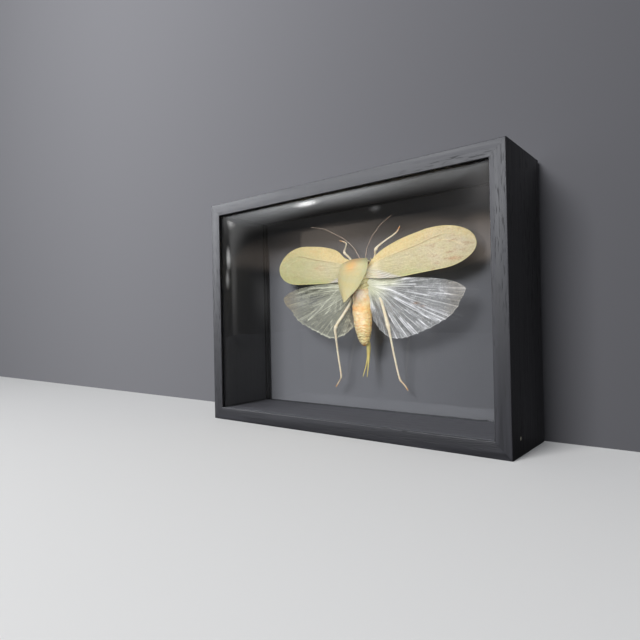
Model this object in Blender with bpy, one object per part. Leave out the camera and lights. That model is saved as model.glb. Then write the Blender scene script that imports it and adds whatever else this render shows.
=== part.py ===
"""A winged insect, spread and mounted in a black wooden case with a domed front pane.

Metres, +Z up. The origin is the centre of the case's bottom face, +X runs to the
right along the front, and +Y runs from the front face to the back. Sizes below are
in millimetres and become metres in the function metres.

The case is four mitred rails, grooved for a domed clear front pane and a flat clear
back pane. The insect is built in a frame of its own, an empty on the front surface
of the back pane: x to the right, lift towards the viewer, z up from the wing roots.
"""

import math

import bmesh
import bpy
from mathutils import Vector

# case
CASE_WIDTH = 250.0
CASE_HEIGHT = 180.0
CASE_DEPTH = 60.0
RAIL_THICKNESS = 10.0
ARRIS = 0.5
GAP = 0.3

# panes, with the grooves that hold them
PANE_THICKNESS = 2.0
GROOVE_DEPTH = 3.0
FRONT_LIP = 1.5
BACK_LIP = 4.7
DOME_FLAT_BORDER = 0.5
DOME_EDGE_RADIUS = 3.0
DOME_CORNER_RADIUS = 30.0
DOME_MARGIN = 24.0
DOME_RISE = 2.6
DOME_CROWN = 0.6

# nail at the bottom corner of the right rail
NAIL_HEAD_RADIUS = 1.25
NAIL_HEAD_THICKNESS = 0.6
NAIL_SHANK_RADIUS = 0.6
NAIL_LENGTH = 7.0
NAIL_FROM_FRONT = 14.5
NAIL_HEIGHT = 10.2

# insect, all measured in its own frame
WING_ROOT_HEIGHT = 110.0
FOREWING_ROOT = (6.7, 9.5)
WING_THICKNESS = 0.5
HINDWING_ROOT = (6.9, 0.5)
HINDWING_ROOT_RADIUS = 1.6
PLEATS = 17
PLEAT_DEPTH = 0.55
HOOD_THICKNESS = 0.9

SIDES = {"left": -1.0, "right": 1.0}


# ---------------------------------------------------------------- helpers


def metres(x, y, z):
    """A place in millimetres as a vector in metres."""
    return Vector((x, y, z)) * 0.001


def lifted(x, lift, z):
    """A place in the insect's frame: lift is the height above the back pane."""
    return metres(x, -lift, z)


def linear(channel):
    """One sRGB channel, 0 to 255, as the linear value that a shader takes."""
    value = channel / 255.0
    return value / 12.92 if value <= 0.04045 else ((value + 0.055) / 1.055) ** 2.4


def make_material(name, rgb, roughness, metallic=0.0, transmission=0.0):
    """A Principled material from an sRGB colour."""
    material = bpy.data.materials.new(name)
    material.use_nodes = True
    shader = material.node_tree.nodes["Principled BSDF"]
    shader.inputs["Base Color"].default_value = (*(linear(c) for c in rgb), 1.0)
    shader.inputs["Roughness"].default_value = roughness
    shader.inputs["Metallic"].default_value = metallic
    shader.inputs["Transmission Weight"].default_value = transmission
    return material


def make_object(name, points, faces, material, parent=None, crease=40.0):
    """A closed mesh object with its faces turned outwards."""
    mesh = bpy.data.meshes.new(name)
    form = bmesh.new()
    corners = [form.verts.new(point) for point in points]
    for face in faces:
        form.faces.new([corners[i] for i in face])
    bmesh.ops.recalc_face_normals(form, faces=form.faces)
    form.to_mesh(mesh)
    form.free()
    mesh.shade_smooth()
    mesh.set_sharp_from_angle(angle=math.radians(crease))
    mesh.materials.append(material)
    piece = bpy.data.objects.new(name, mesh)
    bpy.context.scene.collection.objects.link(piece)
    piece.parent = parent
    return piece


def loft(rings):
    """Points and faces of a solid through closed rings, capped at both ends."""
    count = len(rings[0])
    points = [point for ring in rings for point in ring]
    faces = []
    for row in range(len(rings) - 1):
        for i in range(count):
            j = (i + 1) % count
            faces.append((row * count + i, row * count + j, (row + 1) * count + j, (row + 1) * count + i))
    faces.append(tuple(range(count)))
    faces.append(tuple(range((len(rings) - 1) * count, len(rings) * count)))
    return points, faces


def sheet(front, thickness):
    """Points and faces of a thin solid whose front is a grid of places.

    The back is the same grid, set back towards the pane by the thickness.
    """
    rows, columns = len(front), len(front[0])
    shift = metres(0.0, thickness, 0.0)
    points = [point for row in front for point in row]
    points += [point + shift for point in points]
    behind = rows * columns

    def index(row, column):
        return row * columns + column

    faces = []
    for row in range(rows - 1):
        for column in range(columns - 1):
            quad = (
                index(row, column),
                index(row, column + 1),
                index(row + 1, column + 1),
                index(row + 1, column),
            )
            faces.append(quad)
            faces.append(tuple(i + behind for i in quad))
    border = [index(0, c) for c in range(columns)]
    border += [index(r, columns - 1) for r in range(1, rows)]
    border += [index(rows - 1, c) for c in range(columns - 2, -1, -1)]
    border += [index(r, 0) for r in range(rows - 2, 0, -1)]
    for i, start in enumerate(border):
        end = border[(i + 1) % len(border)]
        faces.append((start, end, end + behind, start + behind))
    return points, faces


def smooth_through(knots, where):
    """Value at where on a smooth curve through (position, value, ...) knots.

    Cubic Hermite pieces, whose slope at a knot is that between its neighbours.
    """
    def slope(i, channel):
        low, high = max(i - 1, 0), min(i + 1, len(knots) - 1)
        return (knots[high][channel] - knots[low][channel]) / (knots[high][0] - knots[low][0])

    where = min(max(where, knots[0][0]), knots[-1][0])
    i = 0
    while i < len(knots) - 2 and where > knots[i + 1][0]:
        i += 1
    span = knots[i + 1][0] - knots[i][0]
    t = (where - knots[i][0]) / span
    values = []
    for channel in range(1, len(knots[0])):
        values.append(
            (2 * t**3 - 3 * t**2 + 1) * knots[i][channel]
            + (t**3 - 2 * t**2 + t) * span * slope(i, channel)
            + (3 * t**2 - 2 * t**3) * knots[i + 1][channel]
            + (t**3 - t**2) * span * slope(i + 1, channel)
        )
    return values


def limb(stations, steps, sides=8):
    """A tapering tube through (x, lift, z, radius) stations."""
    knots = [(float(i), *station) for i, station in enumerate(stations)]
    total = len(stations) - 1
    spine = [smooth_through(knots, total * i / steps) for i in range(steps + 1)]
    places = [lifted(*station[:3]) for station in spine]
    side = Vector((0.0, 1.0, 0.0))
    rings = []
    for i, place in enumerate(places):
        along = (places[min(i + 1, steps)] - places[max(i - 1, 0)]).normalized()
        side = (side - along * side.dot(along)).normalized()
        other = along.cross(side)
        radius = spine[i][3] * 0.001
        ring = []
        for k in range(sides):
            turn = 2.0 * math.pi * k / sides
            ring.append(place + radius * (math.cos(turn) * side + math.sin(turn) * other))
        rings.append(ring)
    return loft(rings)


def mirrored(stations, sign):
    """The same stations on the left (sign -1) or the right (sign 1)."""
    return [(sign * station[0], *station[1:]) for station in stations]


def add_helper(name, points, faces, material, parent=None):
    """A solid that only joins or cuts another, left out of the model itself."""
    helper = make_object(name, points, faces, material, parent)
    helper.hide_render = True
    helper.display_type = "WIRE"
    return helper


def combine(piece, helper, operation):
    """Join a helper to a piece, or cut it out, with a Boolean modifier."""
    modifier = piece.modifiers.new(operation.lower(), "BOOLEAN")
    modifier.operation = operation
    modifier.solver = "EXACT"
    modifier.object = helper


def ball(centre, radii, rows=8, sides=12):
    """An ellipsoid in the insect's frame."""
    rings = []
    for row in range(rows + 1):
        polar = math.pi * (0.06 + 0.88 * row / rows)
        ring = []
        for k in range(sides):
            turn = 2.0 * math.pi * k / sides
            ring.append(
                lifted(
                    centre[0] + radii[0] * math.sin(polar) * math.cos(turn),
                    centre[1] + radii[1] * math.sin(polar) * math.sin(turn),
                    centre[2] + radii[2] * math.cos(polar),
                )
            )
        rings.append(ring)
    return loft(rings)


# ---------------------------------------------------------------- case


def rail_profile():
    """Outline of a rail across its length: (place from front to back, depth inwards)."""
    front, back = -CASE_DEPTH / 2, CASE_DEPTH / 2
    groove = PANE_THICKNESS + 2 * GAP
    floor = RAIL_THICKNESS - GROOVE_DEPTH
    front_groove = front + FRONT_LIP
    back_groove = back - BACK_LIP
    return (
        (front + ARRIS, 0.0),
        (back - ARRIS, 0.0),
        (back, ARRIS),
        (back, RAIL_THICKNESS - ARRIS),
        (back - ARRIS, RAIL_THICKNESS),
        (back_groove, RAIL_THICKNESS),
        (back_groove, floor),
        (back_groove - groove, floor),
        (back_groove - groove, RAIL_THICKNESS),
        (front_groove + groove, RAIL_THICKNESS),
        (front_groove + groove, floor),
        (front_groove, floor),
        (front_groove, RAIL_THICKNESS),
        (front + ARRIS, RAIL_THICKNESS),
        (front, RAIL_THICKNESS - ARRIS),
        (front, ARRIS),
    )


def add_rail(name, length, place, turn, material):
    """A grooved rail with both ends mitred at 45 degrees.

    Built with its outer face down, then turned about Y into its place.
    """
    mitre_gap = GAP / 2 * math.sqrt(2.0)
    ends = []
    for sign in (-1.0, 1.0):
        half = length / 2 - mitre_gap
        ends.append([metres(sign * (half - inwards), y, inwards) for y, inwards in rail_profile()])
    rail = make_object(name, *loft(ends), material, crease=20.0)
    rail.location = metres(*place)
    rail.rotation_euler = (0.0, math.radians(turn), 0.0)
    return rail


def disc_ring(x, radius, place, sides=16):
    """A circle around the nail's line, at x across the right rail."""
    ring = []
    for k in range(sides):
        turn = 2.0 * math.pi * k / sides
        ring.append(metres(x, place[0] + radius * math.cos(turn), place[1] + radius * math.sin(turn)))
    return ring


def add_nail(rail, brass, wood):
    """A round-headed nail driven through the right rail, and its counterbore."""
    place = (-CASE_DEPTH / 2 + NAIL_FROM_FRONT, NAIL_HEIGHT)
    face = CASE_WIDTH / 2
    seat = face - NAIL_HEAD_THICKNESS
    head = NAIL_HEAD_RADIUS
    shank = NAIL_SHANK_RADIUS
    nail = [
        disc_ring(face - 0.02, head * 0.8, place),
        disc_ring(face - 0.2, head, place),
        disc_ring(seat, head, place),
        disc_ring(seat, shank, place),
        disc_ring(face - NAIL_LENGTH + 1.0, shank, place),
        disc_ring(face - NAIL_LENGTH, shank * 0.3, place),
    ]
    make_object("corner_nail", *loft(nail), brass, crease=30.0)
    bore = [
        disc_ring(face + 1.0, head + GAP, place),
        disc_ring(seat - GAP, head + GAP, place),
        disc_ring(seat - GAP, shank + GAP, place),
        disc_ring(face - NAIL_LENGTH - GAP, shank + GAP, place),
    ]
    combine(rail, add_helper("nail_bore", *loft(bore), wood), "DIFFERENCE")


def rounded_rectangle(half_width, half_height, radius, y, corner_steps=5):
    """A rounded rectangle facing the viewer, around the middle of the case."""
    ring = []
    for quarter in range(4):
        corner_x = (half_width - radius) * (1 if quarter in (0, 3) else -1)
        corner_z = (half_height - radius) * (1 if quarter in (0, 1) else -1)
        for step in range(corner_steps + 1):
            turn = math.pi / 2 * (quarter + step / corner_steps)
            ring.append(
                metres(
                    corner_x + radius * math.cos(turn),
                    y,
                    CASE_HEIGHT / 2 + corner_z + radius * math.sin(turn),
                )
            )
    return ring


def pane_half_sizes():
    """Half the width and height of a pane, edge to edge in its grooves."""
    edge = RAIL_THICKNESS - GROOVE_DEPTH + GAP
    return CASE_WIDTH / 2 - edge, CASE_HEIGHT / 2 - edge


def dome_rings(face):
    """Rings of one skin of the domed pane, from its flat border to its middle.

    Inside the border the skin rises at once and evens out over its margin: its height is
    the rise times one less the cube of the part of the margin that is left. Its corners
    get rounder on the way, and from there it climbs a little to the middle.
    """
    half_width, half_height = pane_half_sizes()
    border = GROOVE_DEPTH - GAP + DOME_FLAT_BORDER
    contours = [(0.0, 1.0, 0.0)]
    for part in (0.0, 0.12, 0.26, 0.42, 0.62, 1.0):
        radius = DOME_EDGE_RADIUS + (DOME_CORNER_RADIUS - DOME_EDGE_RADIUS) * part
        contours.append((border + DOME_MARGIN * part, radius, DOME_RISE * (1.0 - (1.0 - part) ** 3)))
    contours.append((border + DOME_MARGIN + 25.0, DOME_CORNER_RADIUS, DOME_RISE + DOME_CROWN))
    return [rounded_rectangle(half_width - inwards, half_height - inwards, r, face - rise) for inwards, r, rise in contours]


def add_front_pane(material):
    """The domed pane: a flat border in the grooves and a middle that bulges outwards."""
    face = -CASE_DEPTH / 2 + FRONT_LIP + GAP
    outside, inside = dome_rings(face), dome_rings(face + PANE_THICKNESS)
    return make_object("front_pane", *loft(outside[::-1] + inside), material, crease=30.0)


def add_back_pane(material):
    """The flat pane in the rear grooves."""
    half_width, half_height = pane_half_sizes()
    back = CASE_DEPTH / 2 - BACK_LIP - GAP
    front = back - PANE_THICKNESS
    bevel = 0.3
    rings = [
        rounded_rectangle(half_width - bevel, half_height - bevel, 0.7, front, 2),
        rounded_rectangle(half_width, half_height, 1.0, front + bevel, 2),
        rounded_rectangle(half_width, half_height, 1.0, back - bevel, 2),
        rounded_rectangle(half_width - bevel, half_height - bevel, 0.7, back, 2),
    ]
    return make_object("back_pane", *loft(rings), material, crease=30.0)


def back_pane_front():
    """Y of the surface that the insect lies against."""
    return CASE_DEPTH / 2 - BACK_LIP - GAP - PANE_THICKNESS


def add_case():
    """The four rails, the two panes and the nail."""
    wood = make_material("black_wood", (52, 53, 58), 0.45)
    clear = make_material("clear_pane", (235, 240, 240), 0.03, transmission=1.0)
    brass = make_material("nail_brass", (190, 176, 130), 0.35, metallic=1.0)
    half_width, middle = CASE_WIDTH / 2, CASE_HEIGHT / 2
    add_rail("rail_bottom", CASE_WIDTH, (0.0, 0.0, 0.0), 0.0, wood)
    add_rail("rail_top", CASE_WIDTH, (0.0, 0.0, CASE_HEIGHT), 180.0, wood)
    add_rail("rail_left", CASE_HEIGHT, (-half_width, 0.0, middle), 90.0, wood)
    right = add_rail("rail_right", CASE_HEIGHT, (half_width, 0.0, middle), -90.0, wood)
    add_nail(right, brass, wood)
    add_front_pane(clear)
    add_back_pane(clear)


# ---------------------------------------------------------------- insect


def body_rings(stations, sides):
    """Rings across the body from (z, lift, half depth, half width) stations."""
    rings = []
    for z, lift, half_depth, half_width in stations:
        ring = []
        for k in range(sides):
            turn = 2.0 * math.pi * k / sides
            ring.append(lifted(half_width * math.cos(turn), lift + half_depth * math.sin(turn), z))
        rings.append(ring)
    return rings


def add_thorax(frame, material):
    """The chest, high under the hood and low behind the wings."""
    stations = (
        (11.3, 16.6, 3.4, 3.8),
        (10.2, 16.7, 5.6, 5.8),
        (8.6, 16.9, 7.3, 7.0),
        (6.0, 15.0, 8.2, 7.5),
        (2.5, 12.4, 8.4, 7.6),
        (-2.0, 10.2, 7.2, 7.4),
        (-6.0, 9.4, 6.2, 6.9),
        (-8.6, 9.6, 5.2, 6.0),
        (-9.8, 9.9, 3.6, 4.4),
    )
    make_object("thorax", *loft(body_rings(stations, 18)), material, frame)


def add_abdomen(frame, material):
    """Ten rings of the hind body, each swelling between two grooves."""
    outline = (
        (0.00, 10.9, 3.6, 4.6),
        (0.04, 11.2, 5.6, 6.4),
        (0.15, 11.8, 6.6, 7.6),
        (0.30, 12.0, 6.8, 7.8),
        (0.50, 11.6, 6.0, 7.2),
        (0.70, 11.0, 5.2, 6.2),
        (0.84, 10.4, 4.1, 4.8),
        (0.95, 10.0, 2.6, 3.0),
        (1.00, 9.9, 0.9, 1.0),
    )
    top, tip = -10.2, -49.4
    segments = 10
    groove = 0.94
    stations = []
    for i in range(2 * segments + 1):
        t = i / (2 * segments)
        lift, half_depth, half_width = smooth_through(outline, t)
        swell = 1.0 if i % 2 or i in (0, 2 * segments) else groove
        stations.append((top + (tip - top) * t, lift, half_depth * swell, half_width * swell))
    make_object("abdomen", *loft(body_rings(stations, 16)), material, frame)


def add_head(frame, material):
    """The head tucked under the hood's front edge, with an eye on each side."""
    head = make_object("head", *ball((0.0, 6.5, 12.2), (4.3, 4.4, 4.2)), material, frame)
    for side, sign in SIDES.items():
        eye = ball((sign * 3.9, 7.6, 13.4), (1.2, 1.3, 1.5), rows=5, sides=8)
        combine(head, add_helper(f"eye_{side}", *eye, material, frame), "UNION")


def hood_place(t, across):
    """A place on the hood: t from its front edge to its rear tip, across -1 to 1."""
    z, half_width, rim, ridge = smooth_through(HOOD_STATIONS, t)
    arch = 1.0 - abs(across) ** 2.6
    return (half_width * across, rim + (ridge - rim) * arch, z)


HOOD_STATIONS = (
    # t, z, half width, lift of the rim, lift of the ridge
    (0.00, 16.8, 7.0, 14.4, 15.8),
    (0.09, 14.6, 10.4, 18.6, 20.6),
    (0.18, 12.4, 12.2, 21.2, 23.4),
    (0.32, 8.0, 12.7, 23.0, 25.7),
    (0.46, 3.5, 12.2, 25.0, 27.9),
    (0.61, -1.5, 10.6, 27.2, 30.0),
    (0.76, -7.0, 7.9, 29.3, 31.7),
    (0.89, -12.0, 4.0, 32.0, 33.4),
    (1.00, -16.7, 0.5, 34.8, 34.9),
)


def add_hood(frame, material):
    """The shield over the thorax, rising to its rear tip."""
    rows, columns = 13, 11
    front = []
    for row in range(rows):
        t = row / (rows - 1)
        front.append([lifted(*hood_place(t, 2.0 * c / (columns - 1) - 1.0)) for c in range(columns)])
    make_object("hood", *sheet(front, HOOD_THICKNESS), material, frame)


# Each upper wing: its tilt in degrees, its length, and both edges as heights above the
# wing's axis at (reach, height) points. From the round_from reach on, an edge closes in
# an elliptical curve of the given power.
FOREWINGS = {
    "left": {
        "tilt": 4.9,
        "length": 81.4,
        "leading": ((0.0, 1.0), (3.6, 6.3), (9.6, 8.6), (18.6, 14.4), (32.6, 17.6), (51.5, 18.7)),
        "trailing": ((0.0, -3.0), (4.0, -3.6), (12.0, -7.4), (20.0, -10.0), (38.6, -12.3), (59.5, -13.3)),
        "round_from": (59.5, 51.5),
        "power": (2.5, 2.0),
    },
    "right": {
        "tilt": 7.6,
        "length": 82.9,
        "leading": ((0.0, 1.0), (4.0, 5.4), (9.1, 9.0), (15.0, 11.8), (29.0, 15.5), (48.0, 17.7)),
        "trailing": ((0.0, -3.0), (4.0, -3.4), (12.5, -7.4), (21.0, -11.0), (37.0, -11.9), (58.0, -12.5)),
        "round_from": (58.0, 48.0),
        "power": (2.0, 2.3),
    },
}


def edge_height(wing, edge, reach):
    """Height of an edge over the wing's axis: 0 is the trailing, 1 the leading edge."""
    height = smooth_through(wing[("trailing", "leading")[edge]], reach)[0]
    start, power = wing["round_from"][edge], wing["power"][edge]
    if reach > start:
        t = (reach - start) / (wing["length"] - start)
        height *= math.sqrt(max(1.0 - t**power, 0.0))
    return height


def forewing_lift(reach, height):
    """Lift of the wing's surface, highest along its main vein.

    The leading field slopes back from the vein, and the rear field curls down a
    little towards the trailing edge.
    """
    vein_height, vein_lift = smooth_through(
        ((0.0, -1.0, 11.6), (12.0, 4.0, 12.0), (40.0, 8.0, 10.4), (64.0, 10.6, 9.0), (82.0, 1.0, 8.0)),
        reach,
    )
    away = height - vein_height
    return vein_lift - (0.20 * away if away > 0 else 0.0025 * away * away)


def add_forewing(side, frame, material):
    """The leathery upper wing, a rounded leaf shape on a narrow root."""
    rows, columns = 21, 9
    wing = FOREWINGS[side]
    tilt = math.radians(wing["tilt"])
    front = []
    for row in range(rows):
        reach = wing["length"] * 0.9985 * math.sin(math.pi / 2 * row / (rows - 1))
        below, above = edge_height(wing, 0, reach), edge_height(wing, 1, reach)
        line = []
        for column in range(columns):
            height = below + (above - below) * column / (columns - 1)
            x = FOREWING_ROOT[0] + reach * math.cos(tilt) - height * math.sin(tilt)
            z = FOREWING_ROOT[1] + reach * math.sin(tilt) + height * math.cos(tilt)
            line.append(lifted(SIDES[side] * x, forewing_lift(reach, height), z))
        front.append(line)
    make_object(f"forewing_{side}", *sheet(front, WING_THICKNESS), material, frame)


# angle below the horizontal in degrees, radius from the root
HINDWING_REACH = {
    "left": (
        (-72, 9.5), (-34, 15.5), (-10, 22.5), (0, 29.0), (1.3, 40.0), (3.4, 60.5), (5.6, 70.3), (8.2, 75.7),
        (14.7, 72.1), (18.5, 69.0), (26, 66.3), (38, 58.7), (47, 54.8), (60, 51.3), (73, 44.3), (88, 33.0),
    ),
    "right": (
        (-72, 9.5), (-34, 15.5), (-10, 22.5), (0, 29.0), (1.3, 40.0), (3.4, 60.5), (5.4, 70.3), (8.1, 75.8),
        (14, 74.3), (23, 71.2), (29, 66.5), (39, 60.2), (49, 55.3), (61, 50.8), (71, 45.8), (80, 38.0), (88, 31.0),
    ),
}


def hindwing_lift(radius):
    """Lift of the pleats' mid-surface: it dips behind the rear leg, then rises."""
    knots = ((0.0, 8.0), (5.0, 6.4), (10.0, 5.3), (17.0, 5.5), (32.0, 8.2), (46.0, 9.8), (76.0, 10.6))
    return smooth_through(knots, radius)[0]


def add_hindwing(side, frame, material):
    """The clear fan-shaped wing behind, folded in radial pleats."""
    folds = 2 * PLEATS
    rings = 6
    radii = HINDWING_REACH[side]
    first, last = radii[0][0], radii[-1][0]
    front = []
    for fold in range(folds + 1):
        angle = first + (last - first) * fold / folds
        reach = smooth_through(radii, angle)[0]
        turn = math.radians(angle)
        line = []
        for ring in range(rings + 1):
            radius = HINDWING_ROOT_RADIUS + (reach - HINDWING_ROOT_RADIUS) * ring / rings
            pleat = PLEAT_DEPTH * min(radius / 22.0, 1.0) * (0.5 if fold % 2 else -0.5)
            x = HINDWING_ROOT[0] + radius * math.cos(turn)
            z = HINDWING_ROOT[1] - radius * math.sin(turn)
            line.append(lifted(SIDES[side] * x, hindwing_lift(radius) + pleat, z))
        front.append(line)
    make_object(f"hindwing_{side}", *sheet(front, WING_THICKNESS), material, frame)


FRONT_LEGS = {
    # x outwards, lift, z, radius
    "left": (
        (5.6, 8.4, 7.0, 0.9), (11.0, 9.4, 17.3, 0.8), (14.1, 13.4, 22.7, 0.9),
        (17.2, 8.0, 27.0, 0.6), (20.3, 2.2, 31.7, 0.55), (24.0, 1.0, 33.8, 0.45), (27.6, 0.9, 35.0, 0.35),
    ),
    "right": (
        (5.6, 8.4, 7.0, 0.9), (10.8, 9.4, 17.8, 0.8), (14.6, 13.4, 22.9, 0.9),
        (18.6, 8.0, 28.6, 0.6), (23.9, 2.2, 34.0, 0.55), (26.0, 1.0, 36.4, 0.45), (27.8, 0.9, 39.4, 0.35),
    ),
}

MIDDLE_LEG = (
    (3.6, 5.9, 5.6, 0.85), (9.0, 3.6, 9.2, 0.75), (15.0, 2.6, 12.4, 0.8),
    (20.0, 1.8, 10.4, 0.55), (24.5, 1.2, 8.0, 0.5), (27.5, 0.9, 6.6, 0.4), (29.5, 0.8, 5.4, 0.35),
)

REAR_LEGS = {
    "left": (
        (7.6, 7.7, -7.6, 1.1), (12.4, 8.9, -16.0, 1.0), (18.4, 12.0, -26.0, 0.95), (24.3, 15.0, -35.6, 1.0),
        (25.0, 13.2, -43.0, 0.65), (25.6, 8.6, -58.6, 0.6), (26.4, 4.3, -73.6, 0.6),
        (29.2, 2.2, -77.4, 0.5), (31.8, 1.2, -80.4, 0.5), (34.2, 0.9, -83.4, 0.35),
    ),
    "right": (
        (7.6, 7.7, -7.4, 1.1), (12.9, 8.6, -13.6, 1.0), (18.6, 11.6, -22.8, 0.95), (24.3, 15.0, -34.2, 1.0),
        (25.0, 13.2, -42.0, 0.65), (26.0, 8.4, -59.6, 0.6), (27.0, 4.2, -73.4, 0.6),
        (28.9, 2.2, -77.4, 0.5), (30.2, 1.2, -79.6, 0.5), (31.8, 0.9, -82.2, 0.35),
    ),
}


def add_legs(frame, material):
    """Three pairs of thin legs, whose feet reach the back pane."""
    for side, sign in SIDES.items():
        front = limb(mirrored(FRONT_LEGS[side], sign), 16, 7)
        middle = limb(mirrored(MIDDLE_LEG, sign), 14, 6)
        rear = limb(mirrored(REAR_LEGS[side], sign), 22, 7)
        make_object(f"front_leg_{side}", *front, material, frame)
        make_object(f"middle_leg_{side}", *middle, material, frame)
        make_object(f"rear_leg_{side}", *rear, material, frame)


ANTENNAE = {
    "left": (
        (1.9, 8.7, 15.7, 0.35), (3.0, 10.4, 19.2, 0.30), (5.4, 13.4, 25.6, 0.25), (8.9, 15.0, 29.6, 0.25),
        (13.8, 16.5, 33.8, 0.22), (22.0, 18.0, 38.5, 0.22), (29.4, 19.0, 42.3, 0.20), (41.5, 20.0, 45.2, 0.20),
    ),
    "right": (
        (1.9, 8.7, 15.7, 0.35), (3.4, 10.4, 18.6, 0.30), (6.2, 13.0, 23.7, 0.25), (9.6, 15.0, 27.5, 0.25),
        (14.1, 16.5, 32.9, 0.22), (17.0, 17.0, 35.1, 0.22), (21.5, 18.0, 39.1, 0.20), (32.1, 20.0, 44.3, 0.20),
    ),
}


def add_antennae(frame, material):
    """Two hair-thin feelers that curve out from under the hood."""
    for side, sign in SIDES.items():
        make_object(f"antenna_{side}", *limb(mirrored(ANTENNAE[side], sign), 14, 5), material, frame)


def add_ovipositor(frame, material):
    """The egg-laying blades: side by side at the root, parted towards the tips."""
    blade = (
        (0.55, 5.4, -45.4, 1.2), (0.50, 4.0, -49.0, 1.15), (0.45, 3.9, -54.0, 0.95), (0.45, 4.4, -58.5, 0.85),
        (0.85, 5.8, -63.5, 0.65), (1.40, 7.6, -68.5, 0.55), (1.90, 9.6, -73.0, 0.40),
    )
    right = make_object("ovipositor", *limb(mirrored(blade, 1.0), 12, 8), material, frame)
    left = add_helper("ovipositor_other_blade", *limb(mirrored(blade, -1.0), 12, 8), material, frame)
    combine(right, left, "UNION")


def add_glue(frame, material):
    """A small clear dab between the thorax and the back pane."""
    rings = []
    for lift, radius in ((2.6, 2.2), (1.8, 2.9), (0.9, 3.4), (GAP, 3.6)):
        ring = []
        for k in range(14):
            turn = 2.0 * math.pi * k / 14
            ring.append(lifted(radius * math.cos(turn), lift, -3.0 + radius * math.sin(turn)))
        rings.append(ring)
    make_object("glue_dab", *loft(rings), material, frame)


def add_insect():
    """The whole insect, in a frame on the back pane at the height of the wing roots."""
    frame = bpy.data.objects.new("insect_frame", None)
    frame.location = metres(0.0, back_pane_front(), WING_ROOT_HEIGHT)
    bpy.context.scene.collection.objects.link(frame)

    shell = make_material("pale_green_shell", (205, 198, 140), 0.55)
    chest = make_material("olive_chest", (170, 158, 92), 0.6)
    rings = make_material("orange_rings", (226, 186, 118), 0.5)
    leather = make_material("leaf_wing", (214, 203, 150), 0.5)
    film = make_material("clear_wing", (222, 224, 220), 0.3, transmission=0.6)
    ivory = make_material("ivory_leg", (226, 212, 172), 0.5)
    hair = make_material("brown_feeler", (150, 120, 104), 0.6)
    blade = make_material("green_blade", (196, 184, 104), 0.5)
    glue = make_material("clear_glue", (230, 230, 220), 0.15, transmission=0.9)

    add_thorax(frame, chest)
    add_abdomen(frame, rings)
    add_head(frame, shell)
    add_hood(frame, shell)
    for side in SIDES:
        add_forewing(side, frame, leather)
        add_hindwing(side, frame, film)
    add_legs(frame, ivory)
    add_antennae(frame, hair)
    add_ovipositor(frame, blade)
    add_glue(frame, glue)


def main():
    for old in list(bpy.data.objects):
        bpy.data.objects.remove(old, do_unlink=True)
    add_case()
    add_insect()


main()
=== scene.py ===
"""Looks of a winged insect, spread and mounted in a black wooden case with a domed pane.

Sizes are in millimetres until a surface is made a mesh, which is in metres, +Z up.
The case's bottom centre is the origin, +X runs to the right along the front and +Y
from the front to the back. The insect has a frame of its own: x to the right, lift
towards the viewer from the back pane, and z up from the wing roots.
"""

import bpy
import numpy as np
from mathutils import Matrix, Vector


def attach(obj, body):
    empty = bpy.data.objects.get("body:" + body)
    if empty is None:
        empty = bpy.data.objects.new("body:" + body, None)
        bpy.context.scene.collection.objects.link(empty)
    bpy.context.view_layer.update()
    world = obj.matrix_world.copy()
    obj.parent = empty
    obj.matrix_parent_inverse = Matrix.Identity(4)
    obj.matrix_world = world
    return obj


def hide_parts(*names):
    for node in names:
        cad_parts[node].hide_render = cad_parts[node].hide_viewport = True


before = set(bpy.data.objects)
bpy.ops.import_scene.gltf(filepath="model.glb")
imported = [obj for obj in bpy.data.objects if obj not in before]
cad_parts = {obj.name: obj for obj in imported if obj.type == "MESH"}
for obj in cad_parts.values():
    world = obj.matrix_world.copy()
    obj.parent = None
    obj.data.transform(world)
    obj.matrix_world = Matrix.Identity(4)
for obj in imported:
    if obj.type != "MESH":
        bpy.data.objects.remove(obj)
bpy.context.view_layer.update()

# ---------------------------------------------------------------- sizes, as in the CAD model

MM = 0.001
CASE_WIDTH, CASE_HEIGHT, CASE_DEPTH = 250.0, 180.0, 60.0
RAIL_THICKNESS, ARRIS_RADIUS, MITRE_SEAM = 10.0, 0.6, 0.03
PANE_THICKNESS, GROOVE_DEPTH, GAP = 2.0, 3.0, 0.3
FRONT_LIP, BACK_LIP = 1.5, 4.7
DOME_BORDER, DOME_EDGE_RADIUS, DOME_CORNER_RADIUS = 0.5, 3.0, 30.0
DOME_MARGIN, DOME_RISE, DOME_CROWN = 24.0, 2.6, 0.6
NAIL_Y, NAIL_Z = -15.5, 10.2
NAIL_HEAD, NAIL_SHANK, NAIL_LENGTH = 1.25, 0.6, 7.0
PANE_FACE, WING_ROOT = 23.0, 110.0
SIDES = {"left": -1.0, "right": 1.0}

# ---------------------------------------------------------------- numbers and surfaces


def ramp(value, low, high):
    """A straight way from 0 at low to 1 at high, level beyond both."""
    return np.clip((value - low) / (high - low), 0.0, 1.0)


def smooth_step(value, low, high):
    """The same way with soft ends: 3 t^2 - 2 t^3."""
    t = ramp(value, low, high)
    return t * t * (3.0 - 2.0 * t)


def bell(value, middle, width):
    """1 at the middle: e to the minus square of the distance from it over the width."""
    return np.exp(-(((value - middle) / width) ** 2))


def around(count):
    """Angles of that many even steps round a full turn."""
    return np.linspace(0.0, 2 * np.pi, count, endpoint=False)


def stacked(*parts):
    """Arrays of coordinates, brought to one shape, as one array of places."""
    return np.stack(np.broadcast_arrays(*parts), -1)


def placed(x, lift, z):
    """Places in the insect's frame as places in the case, in millimetres."""
    return stacked(x, PANE_FACE - lift, WING_ROOT + z)


def unit(vectors):
    return vectors / np.linalg.norm(vectors, axis=-1, keepdims=True)


def mirrored(stations, sign):
    """The same stations on the left (sign -1) or the right (sign 1)."""
    return [(sign * station[0], *station[1:]) for station in stations]


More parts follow.
